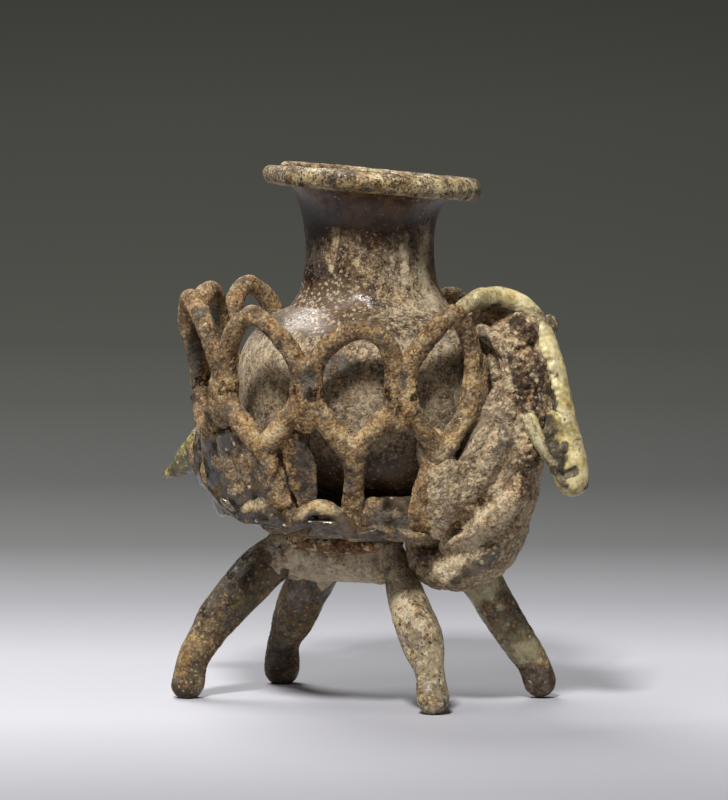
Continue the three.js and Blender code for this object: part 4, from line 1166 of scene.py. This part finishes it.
view = {"azimuth": 26, "place": (0.4811, -0.9892, 0.145), "tilt": 4.309, "lens": 240.294, "sensor": 36}
viewTurn = math.radians(view["azimuth"])
right = np.array([math.cos(viewTurn), math.sin(viewTurn), 0])
ahead = np.array([-math.sin(viewTurn), math.cos(viewTurn), 0])
# The sweep in metres: a flat floor, a bend and a wall. Its paper tones go by distance behind the flask plus slope
# times the height, and it turns to the side tone past sideStart to either side. The tones are partly painted light:
# pale in a pool round the flask, darker to the front and up the backdrop, as the lamps' light falls off.
stage = {
    "front": -2.4, "flat": 1.15, "bend": 0.45, "wall": 1.4, "halfWidth": 2.6, "slope": 0.9, "gloss": 0.6,
    "start": -0.45, "end": 2.0, "sides": "#454545", "sideStart": 0.3, "sideSoft": 0.09,
    "tones": [
        [-0.3, "#454545"], [-0.13, "#8b8a8f"], [-0.03, "#b2b1b6"], [0.07, "#adacb1"], [0.18, "#89898d"],
        [0.31, "#5e5e5d"], [0.5, "#494948"], [0.82, "#4c4c47"], [1.2, "#5c5c56"], [1.5, "#51514b"],
        [1.63, "#40413a"],
    ],
}


# The floor's profile, flat and then a quarter circle up to the wall, carried sideways across the view
def sweepStage():
    flat, bend = stage["flat"], stage["bend"]
    turn = np.linspace(0, math.pi / 2, 24)[1:]
    away = np.concatenate([np.linspace(stage["front"], flat, 12), flat + bend * np.sin(turn), [flat + bend] * 6])
    height = np.concatenate([np.zeros(12), bend - bend * np.cos(turn), np.linspace(bend, stage["wall"], 7)[1:]])
    across = np.linspace(-stage["halfWidth"], stage["halfWidth"], 12)
    grid = (away[:, None, None] * ahead + across[None, :, None] * right
            + height[:, None, None] * np.array([0, 0, 1]))
    rows, columns = grid.shape[:2]
    index = np.arange(rows * columns).reshape(rows, columns)
    quads = np.stack([index[:-1, :-1], index[:-1, 1:], index[1:, 1:], index[1:, :-1]], axis=-1).reshape(-1, 4)
    return skinMesh("studio_sweep", grid.reshape(-1, 3), quads)


def sweepPaper():
    paper, tree = blankMaterial("studio_paper")
    place = addNode(tree, "ShaderNodeTexCoord").outputs["Object"]
    away, across = (
        addNode(tree, "ShaderNodeVectorMath", {0: place, 1: tuple(axis)}, operation="DOT_PRODUCT").outputs["Value"]
        for axis in (ahead + [0, 0, stage["slope"]], right))
    share = addNode(tree, "ShaderNodeMapRange", {
        "Value": away, "From Min": stage["start"], "From Max": stage["end"],
    })
    ramp = addNode(tree, "ShaderNodeValToRGB", {0: share.outputs[0]})
    stops = ramp.color_ramp.elements
    for index, (distance, tone) in enumerate(stage["tones"]):
        position = (distance - stage["start"]) / (stage["end"] - stage["start"])
        stop = stops[0] if index == 0 else stops.new(position)
        stop.position, stop.color = position, hexColour(tone)
    stops.remove(stops[-1])
    across = addNode(tree, "ShaderNodeMath", {0: across}, operation="ABSOLUTE").outputs[0]
    side = (across, stage["sideStart"], stage["sideSoft"], 1.0, stage["sides"])
    colour = addLayers(tree, ramp.outputs[0], [side])[0]
    shader = addNode(tree, "ShaderNodeBsdfPrincipled", {"Base Color": colour, "Roughness": stage["gloss"]})
    addNode(tree, "ShaderNodeOutputMaterial", {"Surface": shader.outputs[0]})
    return paper


sweep = addObject("studio_sweep", sweepStage())
sweep.data.materials.append(sweepPaper())

# Square lamps aimed at the flask: degrees round from the camera, degrees up, distance and size in metres, and watts
aim = np.array([0, 0, 0.06])
lamps = {
    "key_softbox": (-13, 51, 1.2, 0.18, 19), "left_softbox": (-65, 58, 1.0, 0.4, 1.8),
    "right_softbox": (80, 30, 1.2, 0.5, 0.3), "back_softbox": (-150, 52, 1.2, 0.7, 14),
}
for name, (azimuth, elevation, distance, size, power) in lamps.items():
    data = bpy.data.lights.new(name, "AREA")
    data.shape, data.size, data.energy = "SQUARE", size, power
    lamp = addObject(name, data)
    turned, raised = math.radians(view["azimuth"] + azimuth), math.radians(elevation)
    lamp.location = aim + distance * np.array([
        math.sin(turned) * math.cos(raised), -math.cos(turned) * math.cos(raised), math.sin(raised)])
    lamp.rotation_euler = (math.pi / 2 - raised, 0, turned)

world = bpy.data.worlds.new("studio_air")
world.use_nodes = True
air = world.node_tree.nodes["Background"].inputs
air["Color"].default_value, air["Strength"].default_value = hexColour("#f2f2f5"), 0.035
bpy.context.scene.world = world

lens = bpy.data.cameras.new("camera")
lens.sensor_fit, lens.sensor_height, lens.lens = "VERTICAL", view["sensor"], view["lens"]
lens.clip_start, lens.clip_end = 0.05, 20
camera = addObject("camera", lens)
camera.location = view["place"]
camera.rotation_euler = (math.radians(90 - view["tilt"]), 0, viewTurn)
bpy.context.scene.camera = camera
bpy.context.scene.view_settings.view_transform = "Standard"
print("stage made")
